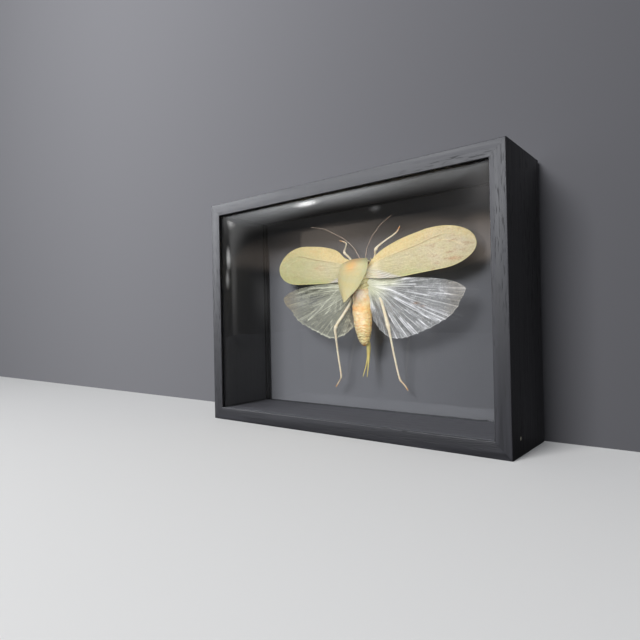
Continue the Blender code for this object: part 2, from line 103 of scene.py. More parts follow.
def smooth_through(knots, where):
    """Smooth curves through (position, value, ...) knots, read at an array of places.

    Cubic Hermite pieces: each blends the values and the slopes of the two knots around
    it, and the slope at a knot is that of the line between its neighbours.
    """
    knots = np.asarray(knots, float)
    place, values = knots[:, 0], knots[:, 1:]
    low = np.maximum(np.arange(len(knots)) - 1, 0)
    high = np.minimum(np.arange(len(knots)) + 1, len(knots) - 1)
    slopes = (values[high] - values[low]) / (place[high] - place[low])[:, None]
    where = np.clip(np.asarray(where, float), place[0], place[-1])
    i = np.clip(np.searchsorted(place, where, side="right") - 1, 0, len(knots) - 2)
    span = (place[i + 1] - place[i])[..., None]
    t = (where - place[i])[..., None] / span
    result = (2 * t**3 - 3 * t**2 + 1) * values[i] + (3 * t**2 - 2 * t**3) * values[i + 1]
    result += (t**3 - 2 * t**2 + t) * span * slopes[i] + (t**3 - t**2) * span * slopes[i + 1]
    return np.moveaxis(result, -1, 0)


def waves(coordinates, length, seed, count=14):
    """A soft random field: the sum of plane waves with random headings and phases.

    Coordinates is (..., dimensions) in millimetres, length the middle wavelength, and
    the result swings about as far as plus and minus one.
    """
    draw = np.random.default_rng(seed)
    heading = unit(draw.normal(size=(count, coordinates.shape[-1])))
    lengths = length * draw.uniform(0.6, 1.5, count)
    phases = draw.uniform(0.0, 2 * np.pi, count)
    swing = np.sin(2 * np.pi * (coordinates @ heading.T) / lengths + phases)
    return swing.sum(-1) / np.sqrt(count)


def closed_loft(rings, poles=(None, None)):
    """Points and faces of a solid whose skin runs through closed rings (rows, sides, 3).

    Each end closes in a fan to its pole, which is the middle of the end ring unless one
    is given.
    """
    rows, sides = rings.shape[:2]
    ends = [ring.mean(0) if pole is None else pole for ring, pole in zip(rings[[0, -1]], poles)]
    points = np.concatenate([rings.reshape(-1, 3), np.array(ends)])
    step = np.arange(sides)
    after = (step + 1) % sides
    row = np.arange(rows - 1)[:, None] * sides
    quads = stacked(row + step, row + after, row + sides + after, row + sides + step)
    last = (rows - 1) * sides
    fans = [
        stacked(after, step, rows * sides),
        stacked(last + step, last + after, rows * sides + 1),
    ]
    return points, quads.reshape(-1, 4).tolist() + np.concatenate(fans).tolist()


def closed_sheet(front, back):
    """Points and faces of a thin solid between two grids (rows, columns, 3).

    Front and back meet in a strip of quads along each of the four edges.
    """
    rows, columns = front.shape[:2]
    points = np.concatenate([front.reshape(-1, 3), back.reshape(-1, 3)])
    index = np.arange(rows * columns).reshape(rows, columns)
    skin = stacked(index[:-1, :-1], index[:-1, 1:], index[1:, 1:], index[1:, :-1]).reshape(-1, 4)
    border = np.concatenate([index[0, :-1], index[:-1, -1], index[-1, :0:-1], index[:0:-1, 0]])
    onward, behind = np.roll(border, -1), rows * columns
    edge = stacked(onward, border, border + behind, onward + behind)
    return points, np.concatenate([skin, skin[:, ::-1] + behind, edge]).tolist()


def outward(points, faces):
    """The same faces, turned round if they enclose a negative volume."""
    volume = 0.0
    for corners in (3, 4):
        group = np.array([face for face in faces if len(face) == corners])
        if len(group):
            a = points[group[:, 0]]
            for i in range(1, corners - 1):
                b, c = points[group[:, i]], points[group[:, i + 1]]
                volume += np.einsum("ij,ij->", a, np.cross(b, c))
    return faces if volume > 0 else [face[::-1] for face in faces]


def tube(stations, steps, sides, swell=None, section=None):
    """Rings of a tapering tube along a smooth spine through (x, lift, z, radius) stations.

    Across the spine lie two directions, one as near to the lift as it can be. A ring is
    radius times (cosine in the first, sine in the second); swell(along) scales it along
    the spine, and section(turn) shapes its outline.
    """
    knots = np.column_stack([np.arange(len(stations)), np.asarray(stations, float)])
    along = np.linspace(0.0, len(stations) - 1.0, steps + 1)
    x, lift, z, radius = smooth_through(knots, along)
    spine = placed(x, lift, z)
    heading = unit(np.gradient(spine, axis=0))
    up = unit(np.array([0.0, -1.0, 0.0]) + heading * heading[:, 1:2])
    other = np.cross(heading, up)
    radius = radius * (1.0 if swell is None else swell(along))
    turn = around(sides)
    outline = 1.0 if section is None else section(turn)
    shape = (outline * np.cos(turn))[None, :, None] * up[:, None]
    shape = shape + (outline * np.sin(turn))[None, :, None] * other[:, None]
    return spine[:, None] + radius[:, None, None] * shape


def new_object(name, data):
    made = bpy.data.objects.new(name, data)
    bpy.context.scene.collection.objects.link(made)
    return made


def new_mesh(name, points, faces):
    """A mesh from points in metres."""
    mesh = bpy.data.meshes.new(name)
    mesh.from_pydata(np.asarray(points, float).tolist(), [], faces)
    return mesh


def smooth_faces(mesh, crease):
    """Shades a mesh smooth but for edges that turn by more than the crease in degrees."""
    mesh.shade_smooth()
    mesh.set_sharp_from_angle(angle=np.radians(crease))


def spread(shape, skins=1, **masks):
    """Masks of a grid of points, each between 0 and 1, as flat lists for its skins."""
    return {
        name: np.tile(np.clip(np.broadcast_to(mask, shape), 0.0, 1.0).ravel(), skins)
        for name, mask in masks.items()
    }


def make_piece(name, solids, material, nodes=(), masks=None, uv=None, crease=38.0):
    """One object from closed solids, riding on the case, with point masks and a UV map."""
    all_points, all_faces, start = [], [], 0
    for points, faces in solids:
        all_faces += [[i + start for i in face] for face in outward(points, faces)]
        all_points.append(points)
        start += len(points)
    mesh = new_mesh(name, np.concatenate(all_points) * MM, all_faces)
    for mask, values in (masks or {}).items():
        padded = np.zeros(start, np.float32)
        padded[: len(values)] = values
        mesh.attributes.new(mask, "FLOAT", "POINT").data.foreach_set("value", padded)
    if uv is not None:
        corner = np.zeros(len(mesh.loops), np.int32)
        mesh.loops.foreach_get("vertex_index", corner)
        at_corners = uv[corner].astype(np.float32).ravel()
        mesh.uv_layers.new(name="UVMap").data.foreach_set("uv", at_corners)
    smooth_faces(mesh, crease)
    mesh.materials.append(material)
    piece = new_object(name, mesh)
    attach(piece, "root")
    if nodes:
        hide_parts(*nodes)
    return piece


# ---------------------------------------------------------------- materials


def linear(rgb):
    """An sRGB colour, 0 to 255, as the linear RGBA that a shader takes."""
    value = np.asarray(rgb, float) / 255.0
    value = np.where(value <= 0.04045, value / 12.92, ((value + 0.055) / 1.055) ** 2.4)
    return (*value.tolist(), 1.0)


class Paint:
    """A node tree with short calls for the nodes that this script uses."""

    def __init__(self, name=None, tree=None):
        if tree is None:
            self.material = bpy.data.materials.new(name)
            self.material.use_nodes = True
            tree = self.material.node_tree
            self.shader = tree.nodes["Principled BSDF"]
        self.tree = tree

    def put(self, socket, value):
        """Links a socket to another, or sets its plain value."""
        if isinstance(value, bpy.types.NodeSocket):
            self.tree.links.new(value, socket)
        else:
            socket.default_value = value

    def call(self, kind, inputs=(), output=0, **settings):
        """An output (or all, for None) of a new node, its inputs by number or name."""
        made = self.tree.nodes.new(kind)
        for key, value in settings.items():
            setattr(made, key, value)
        for key, value in dict(inputs).items():
            self.put(made.inputs[key], value)
        return made.outputs if output is None else made.outputs[output]

    def set(self, **values):
        """Values of the Principled shader, with _ for a space in each name."""
        for key, value in values.items():
            self.put(self.shader.inputs[key.replace("_", " ")], value)
        return self

    def show(self, surface):
        self.put(self.tree.nodes["Material Output"].inputs["Surface"], surface)

    def math(self, operation, *values, clamp=False):
        return self.call("ShaderNodeMath", enumerate(values), operation=operation, use_clamp=clamp)

    def chain(self, operation, values, clamp=False):
        """Two values taken together, then the outcome and the third, and so on."""
        *first, last = values
        if len(first) > 1:
            first = [self.chain(operation, first)]
        return self.math(operation, *first, last, clamp=clamp)

    def times(self, *values):
        return self.chain("MULTIPLY", values)

    def plus(self, *values, clamp=False):
        return self.chain("ADD", values, clamp)

    def most(self, *values, clamp=False):
        return self.chain("MAXIMUM", values, clamp)

    def mix(self, factor, first, second, blend="MIX"):
        inputs = {"Factor": factor, "A": first, "B": second}
        return self.call("ShaderNodeMix", inputs, "Result", data_type="RGBA", blend_type=blend)

    def mix_shaders(self, factor, first, second):
        return self.call("ShaderNodeMixShader", {0: factor, 1: first, 2: second})

    def layers(self, colour, *layers):
        """The colour with (mask, sRGB) or (mask, sRGB, amount) layers over it, in turn."""
        for mask, rgb, *amount in layers:
            colour = self.mix(self.times(mask, *amount) if amount else mask, colour, linear(rgb))
        return colour

    def fade(self, value, low, high, to_low=0.0, to_high=1.0):
        """Value's way from low to high as a smooth step, put between two numbers."""
        names = ("Value", "From Min", "From Max", "To Min", "To Max")
        inputs = zip(names, (value, low, high, to_low, to_high))
        return self.call("ShaderNodeMapRange", inputs, "Result", interpolation_type="SMOOTHSTEP")

    def mask(self, name):
        return self.call("ShaderNodeAttribute", output="Fac", attribute_name=name)

    def mapped(self, vector, scale=(1.0, 1.0, 1.0), turn=(0.0, 0.0, 0.0)):
        inputs = {"Vector": vector, "Scale": scale, "Rotation": turn}
        return self.call("ShaderNodeMapping", inputs)

    def place(self, source="Object"):
        return self.call("ShaderNodeTexCoord", output=source)

    def axes(self, vector):
        return self.call("ShaderNodeSeparateXYZ", {0: vector}, None)

    def path(self):
        return self.call("ShaderNodeLightPath", output=None)

    def noise(self, vector, scale, detail=3.0, roughness=0.55, distortion=0.0):
        names = ("Vector", "Scale", "Detail", "Roughness", "Distortion")
        inputs = zip(names, (vector, scale, detail, roughness, distortion))
        return self.call("ShaderNodeTexNoise", inputs, "Fac")

    def cells(self, vector, scale, feature="DISTANCE_TO_EDGE", randomness=1.0):
        inputs = {"Vector": vector, "Scale": scale, "Randomness": randomness}
        return self.call("ShaderNodeTexVoronoi", inputs, "Distance", feature=feature)

    def bump(self, height, distance, strength):
        inputs = {"Height": height, "Distance": distance, "Strength": strength}
        return self.call("ShaderNodeBump", inputs, "Normal")

    def mottled(self, place, colour, other, amount, size):
        """The mottle group's colour: one that drifts to another."""
        names = ("Vector", "Colour", "Other", "Amount", "Size")
        inputs = zip(names, (place, colour, linear(other), amount, size))
        return self.call("ShaderNodeGroup", inputs, "Colour", node_tree=MOTTLE)

    def skin(self, colour, grain, rough, normal, soft):
        """A dry skin: its roughness by its grain, and light let in by (weight, scale)."""
        roughness = self.fade(grain, 0.3, 0.7, *rough)
        self.set(Base_Color=colour, Roughness=roughness, Normal=normal)
        self.set(Subsurface_Weight=soft[0], Subsurface_Scale=soft[1])
        return self.material


def make_mottle():
    """Group: a colour that drifts to a second one in soft blotches."""
    tree = bpy.data.node_groups.new("mottle", "ShaderNodeTree")
    kinds = {
        "Vector": "Vector", "Colour": "Color", "Other": "Color", "Amount": "Float", "Size": "Float",
    }
    for label, kind in kinds.items():
        tree.interface.new_socket(label, in_out="INPUT", socket_type=f"NodeSocket{kind}")
    tree.interface.new_socket("Colour", in_out="OUTPUT", socket_type="NodeSocketColor")
    g = Paint(tree=tree)
    given = g.call("NodeGroupInput", output=None)
    blotches = g.fade(g.noise(given["Vector"], given["Size"], 5.0, 0.6), 0.38, 0.68)
    colour = g.mix(g.times(blotches, given["Amount"]), given["Colour"], given["Other"])
    g.put(tree.nodes.new("NodeGroupOutput").inputs["Colour"], colour)
    return tree


MOTTLE = make_mottle()
INNER_SLACK = 0.2


def make_black_wood(name, turn):
    """Black-stained open-grained wood with a satin finish, its grain along local X.

    Its arrises are worn. On the case's inside it is painted darker, as shade, and made duller.
    """
    p = Paint(name)
    turned = p.mapped(p.place(), turn=turn)

    def grain(along, across, detail, *more):
        return p.noise(p.mapped(turned, (along, across, across)), 1.0, detail, *more)

    def within(value, half):
        reach = (half - RAIL_THICKNESS + INNER_SLACK) * MM
        return p.math("LESS_THAN", p.math("ABSOLUTE", value), reach)

    fibres = grain(14.0, 420.0, 6.0, 0.62, 0.25)
    pores = p.fade(grain(60.0, 1300.0, 2.0), 0.60, 0.74)
    broad = grain(6.0, 60.0, 3.0)
    flecks = p.times(p.fade(grain(110.0, 1100.0, 1.0), 0.56, 0.66), p.fade(broad, 0.42, 0.62))
    pointed = p.call("ShaderNodeNewGeometry", output="Pointiness")
    where = p.axes(p.place())
    above = p.math("SUBTRACT", where["Z"], CASE_HEIGHT / 2 * MM)
    # Mask of the case's inner faces: painted shade darkens them there, and their roughness rises.
    inside = p.times(within(where["X"], CASE_WIDTH / 2), within(above, CASE_HEIGHT / 2))
    colour = p.layers(
        p.mix(p.fade(fibres, 0.35, 0.70), linear((18, 18, 21)), linear((30, 30, 34))),
        (p.fade(broad, 0.35, 0.7, 0.0, 0.45), (25, 25, 28)),
        (flecks, (15, 15, 17)),
        (pores, (14, 14, 15)),
        (p.fade(pointed, 0.515, 0.56, 0.0, 0.5), (112, 112, 118)),
        # Painted shade: the case's inner faces are darkened.
        (inside, (8, 8, 9), 0.4),
    )
    satin = p.fade(fibres, 0.3, 0.75, 0.44, 0.58)
    roughness = p.plus(satin, p.times(flecks, 0.25), p.times(inside, 0.15), clamp=True)
    height = p.math("SUBTRACT", p.times(fibres, 0.5), p.most(pores, flecks))
    p.set(Base_Color=colour, Roughness=roughness, Normal=p.bump(height, 0.00006, 0.6))
    p.set(Specular_IOR_Level=0.35, Coat_Weight=0.1, Coat_Roughness=0.45)
    return p.material


def make_glass(name, tint, ior):
    """Clear pane that also lets lamps through to what it covers."""
    p = Paint(name).set(Base_Color=tint, Roughness=0.0, IOR=ior, Transmission_Weight=1.0)
    through = p.call("ShaderNodeBsdfTransparent", {"Color": (0.985, 0.987, 0.99, 1.0)})
    path, surface = p.path(), p.shader.outputs[0]
    for ray in ("Is Diffuse Ray", "Is Shadow Ray"):
        surface = p.mix_shaders(path[ray], surface, through)
    p.show(surface)
    return p.material


def make_shell():
    """Pale green hood, warmer and more orange towards its front left."""
    p = Paint("pale_green_shell")
    place = p.place()
    colour = p.mix(p.mask("ripe"), linear((188, 179, 140)), linear((222, 168, 108)))
    fine = p.noise(place, 900.0, 4.0)
    colour = p.layers(
        p.mottled(place, colour, (196, 176, 118), 0.45, 180.0),
        (p.fade(fine, 0.4, 0.7, 0.0, 0.25), (170, 170, 120)),
        (p.mask("edge"), (150, 158, 120), 0.6),
    )
    height = p.plus(p.times(fine, 0.6), p.times(p.cells(place, 1500.0, "F1"), 0.4))
    return p.skin(colour, fine, (0.42, 0.58), p.bump(height, 0.00012, 0.5), (0.08, 0.002))


def make_chest():
    """Olive chest, painted darker along its furrows as shade."""
    p = Paint("olive_chest")
    place = p.place()
    # Painted shade: darker colour along the furrows.
    colour = p.mix(p.mask("furrow"), linear((252, 242, 190)), linear((176, 152, 94)))
    colour = p.mottled(place, colour, (186, 170, 96), 0.5, 300.0)
    fine = p.noise(place, 1100.0, 4.0)
    return p.skin(colour, fine, (0.45, 0.65), p.bump(fine, 0.0002, 0.6), (0.05, 0.001))


def make_rings():
    """Hind body: cream swellings, an orange wrinkled belt, amber flanks, a painted highlight on
    its upper front, and rings painted darker in their creases, partly as shade.
    """
    p = Paint("orange_rings")
    place, tail = p.place(), p.mask("tail")
    colour = p.layers(
        p.mottled(place, linear((240, 224, 186)), (232, 202, 142), 0.6, 260.0),
        (p.mask("belt"), (250, 202, 140)),
        (tail, (222, 212, 162)),
        (p.mask("amber"), (224, 196, 128)),
        (p.mask("blush"), (222, 146, 104), 0.75),
        (p.fade(p.noise(place, 340.0), 0.48, 0.62), (230, 182, 116), 0.3),
        # Painted highlight: near-white colour high on the front of the abdomen.
        (p.mask("shine"), (255, 246, 232)),
    )
    # Crease colour: orange, browner towards the tail; partly the folds' own orange, partly painted
    # shade.
    deep = p.mix(tail, linear((234, 168, 104)), linear((150, 108, 60)))
    colour = p.mix(p.mask("crease"), colour, deep)
    fine = p.noise(place, 1300.0, 4.0)
    lumps = p.plus(p.times(fine, 0.4), p.noise(place, 420.0, 2.0))
    return p.skin(colour, fine, (0.34, 0.5), p.bump(lumps, 0.001, 0.8), (0.1, 0.0015))


def make_leaf_wing(side):
    """Leathery upper wing with veins, a warm leading field and a greener rear one."""
    field, far, far_amount, blotched, veined = {
        "left": ((184, 176, 144), (166, 166, 118), 0.75, 0.1, 0.22),
        "right": ((177, 168, 138), (188, 175, 150), 0.85, 0.55, 0.4),
    }[side]
    p = Paint(f"leaf_wing_{side}")
    sheet = p.place("UV")
    lead, tip = p.mask("lead"), p.mask("tip")
    streaks = p.noise(p.mapped(sheet, (14.0, 46.0, 1.0), (0.0, 0.0, 0.5)), 1.0, 5.0, 0.65)
    blotches = p.times(p.fade(streaks, 0.50, 0.68), p.math("MULTIPLY_ADD", tip, blotched, 0.14))
    net = p.fade(p.cells(sheet, 62.0), 0.02, 0.10, 1.0, 0.0)
    hatches = p.fade(p.noise(p.mapped(sheet, (90.0, 26.0, 1.0)), 1.0), 0.46, 0.64)
    lines = p.fade(p.noise(p.mapped(sheet, (7.0, 130.0, 1.0)), 1.0, 2.0), 0.46, 0.62)
    rear_field = p.math("SUBTRACT", 1.0, p.most(lead, tip))
    colour = p.layers(
        p.mix(lead, linear(field), linear((210, 188, 136))),
        (p.mask("rear"), (168, 176, 116), 0.8),
        (tip, far, far_amount),
        (p.fade(p.noise(sheet, 9.0), 0.35, 0.65), (178, 174, 122), 0.35),
        (blotches, (150, 112, 90)),
        (p.times(p.mask("spot"), p.fade(streaks, 0.40, 0.60, 0.3, 1.0)), (182, 128, 98)),
        (net, (222, 212, 172), 0.32),
        (p.times(hatches, lead), (200, 160, 102), 0.3),
        (p.times(lines, rear_field), (216, 206, 166), 0.35),
        (p.fade(p.noise(sheet, 46.0), 0.5, 0.68), (160, 140, 100), 0.22),
        (p.mask("vein"), (226, 206, 160), veined),
        # Painted shade: a darker line along the crease just below the main vein.
        (p.mask("crease"), (130, 104, 70), 0.6),
        (p.mask("rim"), (212, 200, 138), 0.5),
    )
    # The gathered membrane's pale colour, with painted light on the fold ridges and painted shade
    # in the valleys.
    fold_light_and_shade = p.mix(p.mask("fold"), linear((172, 166, 150)), linear((210, 205, 196)))
    colour = p.mix(p.mask("gather"), colour, fold_light_and_shade)
    # Paler near the root below the main vein: its cream colour, made paler still as painted light
    # where the hood shades it.
    colour = p.layers(colour, (p.mask("base"), (250, 240, 206)))
    grain = p.noise(sheet, 130.0, 4.0)
    height = p.plus(p.times(net, 0.7), p.times(grain, 0.5))
    return p.skin(colour, grain, (0.40, 0.56), p.bump(height, 0.0001, 0.6), (0.06, 0.001))


def make_film(side):
    """Clear pleated wing: white ribs and a fine net on a thin dull membrane.

    Ribs lie on the folds and, fainter, half way between them. A rib's distance is that
    in folds, times the angle of a fold and the radius, so it keeps its width outwards.
    """
    thin, white, dull, rib_alpha, net_alpha = {
        "left": (0.12, (220, 221, 202), (124, 124, 106), 0.44, 0.10),
        "right": (0.10, (236, 236, 240), (160, 162, 158), 0.75, 0.16),
    }[side]
    p = Paint(f"clear_wing_{side}")
    sheet = p.place("UV")
    axes = p.axes(sheet)
    fold, radius = p.times(axes["X"], 2.0 * PLEATS), p.times(axes["Y"], FAN_SHEET)
    glow, root = p.mask("glow"), p.mask("root")
    ribs = []
    for shift, faint, strong in ((0.0, 0.25, 1.0), (0.5, 0.0, 0.75)):
        shifted = p.plus(fold, shift)
        line = p.math("ROUND", shifted)
        apart = p.math("ABSOLUTE", p.math("SUBTRACT", shifted, line))
        apart = p.times(apart, FOLD_ANGLE, radius)
        spot = {0: p.math("MULTIPLY_ADD", line, 3.7, 40.0 * shift), 1: p.times(radius, 0.06)}
        level = p.noise(p.call("ShaderNodeCombineXYZ", spot), 1.0, 1.0)
        level = p.fade(level, 0.36, 0.62, faint, strong)
        ribs.append(p.times(p.fade(apart, 0.14, 0.42, 1.0, 0.0), level))
    ribs = p.times(p.most(*ribs), p.math("MULTIPLY_ADD", glow, 0.6, 0.55))
    net = p.fade(p.cells(p.mapped(sheet, (120.0, 90.0, 1.0)), 1.0), 0.04, 0.16, 1.0, 0.0)
    cloud = p.fade(p.noise(p.mapped(sheet, (12.0, 20.0, 1.0)), 1.0, 4.0), 0.3, 0.75)
    pale = p.most(ribs, p.times(net, 0.6), glow, clamp=True)
    colour = p.mix(pale, linear(dull), linear(white))
    # Root: paler and more opaque; in the front lobe the paler colour is partly painted light,
    # against the forewing's shade.
    colour = p.mix(root, colour, p.mix(ribs, linear((222, 224, 190)), linear((250, 248, 228))))
    tan, mark = (p.mask("tan"), (150, 130, 92)), (p.mask("mark"), (206, 150, 98))
    colour = p.layers(colour, tan, mark)
    alpha = p.plus(
        p.math("MULTIPLY_ADD", cloud, 0.12, thin),
        p.times(net, net_alpha), p.times(ribs, rib_alpha),
        p.times(glow, 0.12), p.times(p.mask("edge"), 0.35),
    )
    alpha = p.times(alpha, p.math("MULTIPLY_ADD", p.mask("gap"), -0.6, 1.0))
    alpha = p.plus(alpha, p.times(root, 0.6), clamp=True)
    p.set(Base_Color=colour, Alpha=alpha, Roughness=0.32, IOR=1.5)
    return p.material


def make_horn(name, rgb, other, *feet):
    """Smooth horny limb skin with faint blotches, in the feet's colour at the feet."""
    p = Paint(name)
    place = p.place()
    colour = p.mottled(place, linear(rgb), other, 0.6, 320.0)
    colour = p.layers(colour, *((p.mask("foot"), foot) for foot in feet))
    fine = p.noise(place, 1600.0)
    return p.skin(colour, fine, (0.34, 0.52), p.bump(fine, 0.00012, 0.5), (0.08, 0.001))


def make_eye():
    """Dark glossy eye with a net of tiny facets."""
    p = Paint("brown_eye")
    facets = p.cells(p.place(), 5200.0, "F1", 0.1)
    p.set(Base_Color=p.mix(facets, linear((66, 40, 28)), linear((104, 66, 44))), Roughness=0.22)
    return p.set(Normal=p.bump(facets, 0.00006, 0.5)).material


def make_nail_metal():
    """Pale worn metal with fine scratches."""
    p = Paint("nail_brass")
    scratches = p.noise(p.mapped(p.place(), (1.0, 1.0, 0.06)), 5200.0, 4.0)
    colour = p.mix(scratches, linear((254, 250, 232)), linear((232, 224, 196)))
    roughness = p.fade(scratches, 0.3, 0.7, 0.26, 0.46)
    p.set(Base_Color=colour, Metallic=0.5, Roughness=roughness)
    p.set(Normal=p.bump(scratches, 0.00004, 0.5))
    return p.material


def make_glue():
    """Clear set glue, faintly yellow."""
    p = Paint("clear_glue")
    p.set(Base_Color=linear((240, 232, 200)), IOR=1.48, Transmission_Weight=0.9)
    swirl = p.noise(p.place(), 500.0, distortion=0.6)
    p.set(Roughness=p.fade(swirl, 0.3, 0.7, 0.06, 0.2), Normal=p.bump(swirl, 0.0002, 0.4))
    return p.material


# ---------------------------------------------------------------- case

RAIL_CREASE = 25.0
NAIL_POINT = 1.2
# Depth under the rail's face and radius.
NAIL_PROFILE = (
    (0.03, 0.25), (0.05, 0.6), (0.12, 0.95), (0.22, 1.15), (0.34, NAIL_HEAD), (0.55, NAIL_HEAD),
    (0.62, 1.1), (0.62, NAIL_SHANK), (NAIL_LENGTH - NAIL_POINT, NAIL_SHANK), (NAIL_LENGTH, 0.12),
)
HEAD_BORE, SHANK_BORE, HEAD_BORE_DEPTH = NAIL_HEAD + 0.12, NAIL_SHANK + 0.1, 0.75
BORE_PROFILE = (
    (-1.0, HEAD_BORE), (HEAD_BORE_DEPTH, HEAD_BORE), (HEAD_BORE_DEPTH, SHANK_BORE),
    (NAIL_LENGTH + GAP, SHANK_BORE),
)


def rounded_profile():
    """Outline across a rail, (place from front to back, depth inwards), arrises rounded.

    Each outer corner is a quarter circle: its centre lies one radius in from both faces,
    and the points run round it in even angles.
    """
    front, back = -CASE_DEPTH / 2, CASE_DEPTH / 2
    groove, floor = PANE_THICKNESS + 2 * GAP, RAIL_THICKNESS - GROOVE_DEPTH
    r = ARRIS_RADIUS
    quarter = np.linspace(0.0, np.pi / 2, 7)

    def corner(y, inwards, start):
        return [(y + r * np.cos(start + a), inwards + r * np.sin(start + a)) for a in quarter]

    outline = corner(back - r, r, -np.pi / 2)
    outline += corner(back - r, RAIL_THICKNESS - r, 0.0)
    for y in (back - BACK_LIP, front + FRONT_LIP + groove):
        outline += [(y, RAIL_THICKNESS), (y, floor)]
        outline += [(y - groove, floor), (y - groove, RAIL_THICKNESS)]
    outline += corner(front + r, RAIL_THICKNESS - r, np.pi / 2)
    outline += corner(front + r, r, np.pi)
    return np.array(outline)


def rail_solid(length, place):
    """A rail: the profile carried along its length, each end cut at 45 degrees.

    At a depth inwards the rail reaches half its length less that depth, on either side,
    and place turns (along, y, inwards) into a place in the case.
    """
    y, inwards = rounded_profile().T
    ends = np.array([-1.0, -0.98, 0.98, 1.0])[:, None] * (length / 2 - MITRE_SEAM - inwards)
    points, faces = closed_loft(place(ends, y, inwards))
    sides = len(y)
    quads = [face for face in faces if len(face) == 4]
    caps = [list(range(sides)), list(range(3 * sides, 4 * sides))[::-1]]
    return points[:-2], quads + caps


def nail_rings(profile, sides):
    """Rings about the nail's axis by (depth under the right rail's face, radius)."""
    depth, radius = np.array(profile).T[:, :, None]
    turn = around(sides)
    y, z = NAIL_Y + radius * np.cos(turn), NAIL_Z + radius * np.sin(turn)
    return stacked(CASE_WIDTH / 2 - depth, y, z)


def cut_bore(rail):
    """Cuts the nail's counterbore out of the right rail with a Boolean, and applies it."""
    points, faces = closed_loft(nail_rings(BORE_PROFILE, 40))
    cutter = new_object("nail_bore", new_mesh("nail_bore", points * MM, outward(points, faces)))
    modifier = rail.modifiers.new("nail_bore", "BOOLEAN")
    modifier.operation, modifier.solver, modifier.object = "DIFFERENCE", "EXACT", cutter
    graph = bpy.context.evaluated_depsgraph_get()
    bored = bpy.data.meshes.new_from_object(rail.evaluated_get(graph))
    rail.modifiers.clear()
    rail.data = bored
    bpy.data.objects.remove(cutter)
    smooth_faces(rail.data, RAIL_CREASE)


def add_rails():
    half, middle = CASE_WIDTH / 2, CASE_HEIGHT / 2
    level = make_black_wood("black_wood_level", (0.0, 0.0, 0.0))
    upright = make_black_wood("black_wood_upright", (0.0, np.pi / 2, 0.0))
    rails = {
        "bottom": (CASE_WIDTH, level, lambda a, y, i: stacked(a, y, i)),
        "top": (CASE_WIDTH, level, lambda a, y, i: stacked(a, y, CASE_HEIGHT - i)),
        "left": (CASE_HEIGHT, upright, lambda a, y, i: stacked(i - half, y, middle + a)),
        "right": (CASE_HEIGHT, upright, lambda a, y, i: stacked(half - i, y, middle + a)),
    }
    for side, (length, wood, place) in rails.items():
        piece = make_piece(
            f"wood_rail_{side}", [rail_solid(length, place)], wood,
            (f"rail_{side}",), crease=RAIL_CREASE,
        )
    cut_bore(piece)


def add_nail():
    """A nail with a low domed head: radius by place along a line through the rail."""
    make_piece(
        "round_headed_nail", [closed_loft(nail_rings(NAIL_PROFILE, 36))], make_nail_metal(),
        ("corner_nail",), crease=30.0,
    )


def rounded_rectangle(half_width, half_height, radius, corner_steps=20, side_steps=24):
    """Points (x, z) round a rectangle: four quarter circles joined by straight sides."""
    arcs = []
    for quarter, corner in enumerate(((1, 1), (-1, 1), (-1, -1), (1, -1))):
        turn = np.pi / 2 * (quarter + np.linspace(0.0, 1.0, corner_steps + 1))
        centre = np.array([half_width - radius, half_height - radius]) * corner
        arcs.append(centre + radius * stacked(np.cos(turn), np.sin(turn)))
    t = np.linspace(0.0, 1.0, side_steps + 1)[1:-1, None]
    points = []
    for arc, following in zip(arcs, arcs[1:] + arcs[:1]):
        points += [arc, arc[-1] * (1 - t) + following[0] * t]
    return np.concatenate(points)


def dome_skin(face):
    """Rings of one skin of the domed pane, from its rim to its middle.

    The rim is flat. Inside it the skin rises at once and evens out over the margin, as
    the rise times 1 less the cube of the part of the margin that is left, while the
    corners get rounder. Then the rings shrink evenly to the middle, and the skin rises
    on by the crown times 1 less the square of the part still left, squared.
    """
    edge = RAIL_THICKNESS - GROOVE_DEPTH + GAP
    half_width, half_height = CASE_WIDTH / 2 - edge, CASE_HEIGHT / 2 - edge
    inset = GROOVE_DEPTH - GAP + DOME_BORDER
    rings = []

    def add(ring, rise):
        rings.append(stacked(ring[:, 0], face - rise, CASE_HEIGHT / 2 + ring[:, 1]))

    add(rounded_rectangle(half_width, half_height, 1.0), 0.0)
    for part in np.linspace(0.0, 1.0, 33) ** 1.3:
        s = inset + DOME_MARGIN * part
        radius = DOME_EDGE_RADIUS + (DOME_CORNER_RADIUS - DOME_EDGE_RADIUS) * part
        inner = rounded_rectangle(half_width - s, half_height - s, radius)
        add(inner, DOME_RISE * (1.0 - (1.0 - part) ** 3))
    for left in np.linspace(1.0, 0.0, 26)[1:-1]:
        add(inner * left, DOME_RISE + DOME_CROWN * (1.0 - left**2) ** 2)
    return np.array(rings)


def add_panes():
    """The domed front pane, and glass for the flat back pane of the CAD model."""
    glass = make_glass("clear_pane", (0.985, 0.99, 0.99, 1.0), 1.49)
    back_glass = make_glass("clear_back_pane", (0.975, 0.985, 0.98, 1.0), 1.5)
    front = -CASE_DEPTH / 2 + FRONT_LIP + GAP
    faces = (front, front + PANE_THICKNESS)
    rings = np.concatenate([dome_skin(faces[0])[::-1], dome_skin(faces[1])])
    poles = [(0.0, face - DOME_RISE - DOME_CROWN, CASE_HEIGHT / 2) for face in faces]
    make_piece(
        "domed_pane", [closed_loft(rings, poles)], glass, ("front_pane",), crease=40.0
    )
    back_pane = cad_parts["back_pane"]
    back_pane.data.materials.clear()
    back_pane.data.materials.append(back_glass)


# ---------------------------------------------------------------- insect's body

# Height z, lift, half depth and half width, from the neck to the waist.
THORAX = (
    (11.3, 16.2, 3.4, 3.4), (10.2, 16.3, 5.6, 5.0), (8.6, 16.2, 7.1, 5.7), (6.0, 14.4, 8.0, 6.0),
    (2.5, 11.8, 8.2, 6.2), (-2.0, 9.8, 7.0, 6.2), (-6.0, 9.0, 6.0, 6.0), (-8.6, 9.2, 5.0, 5.4),
    (-9.8, 9.5, 3.5, 4.0),
)
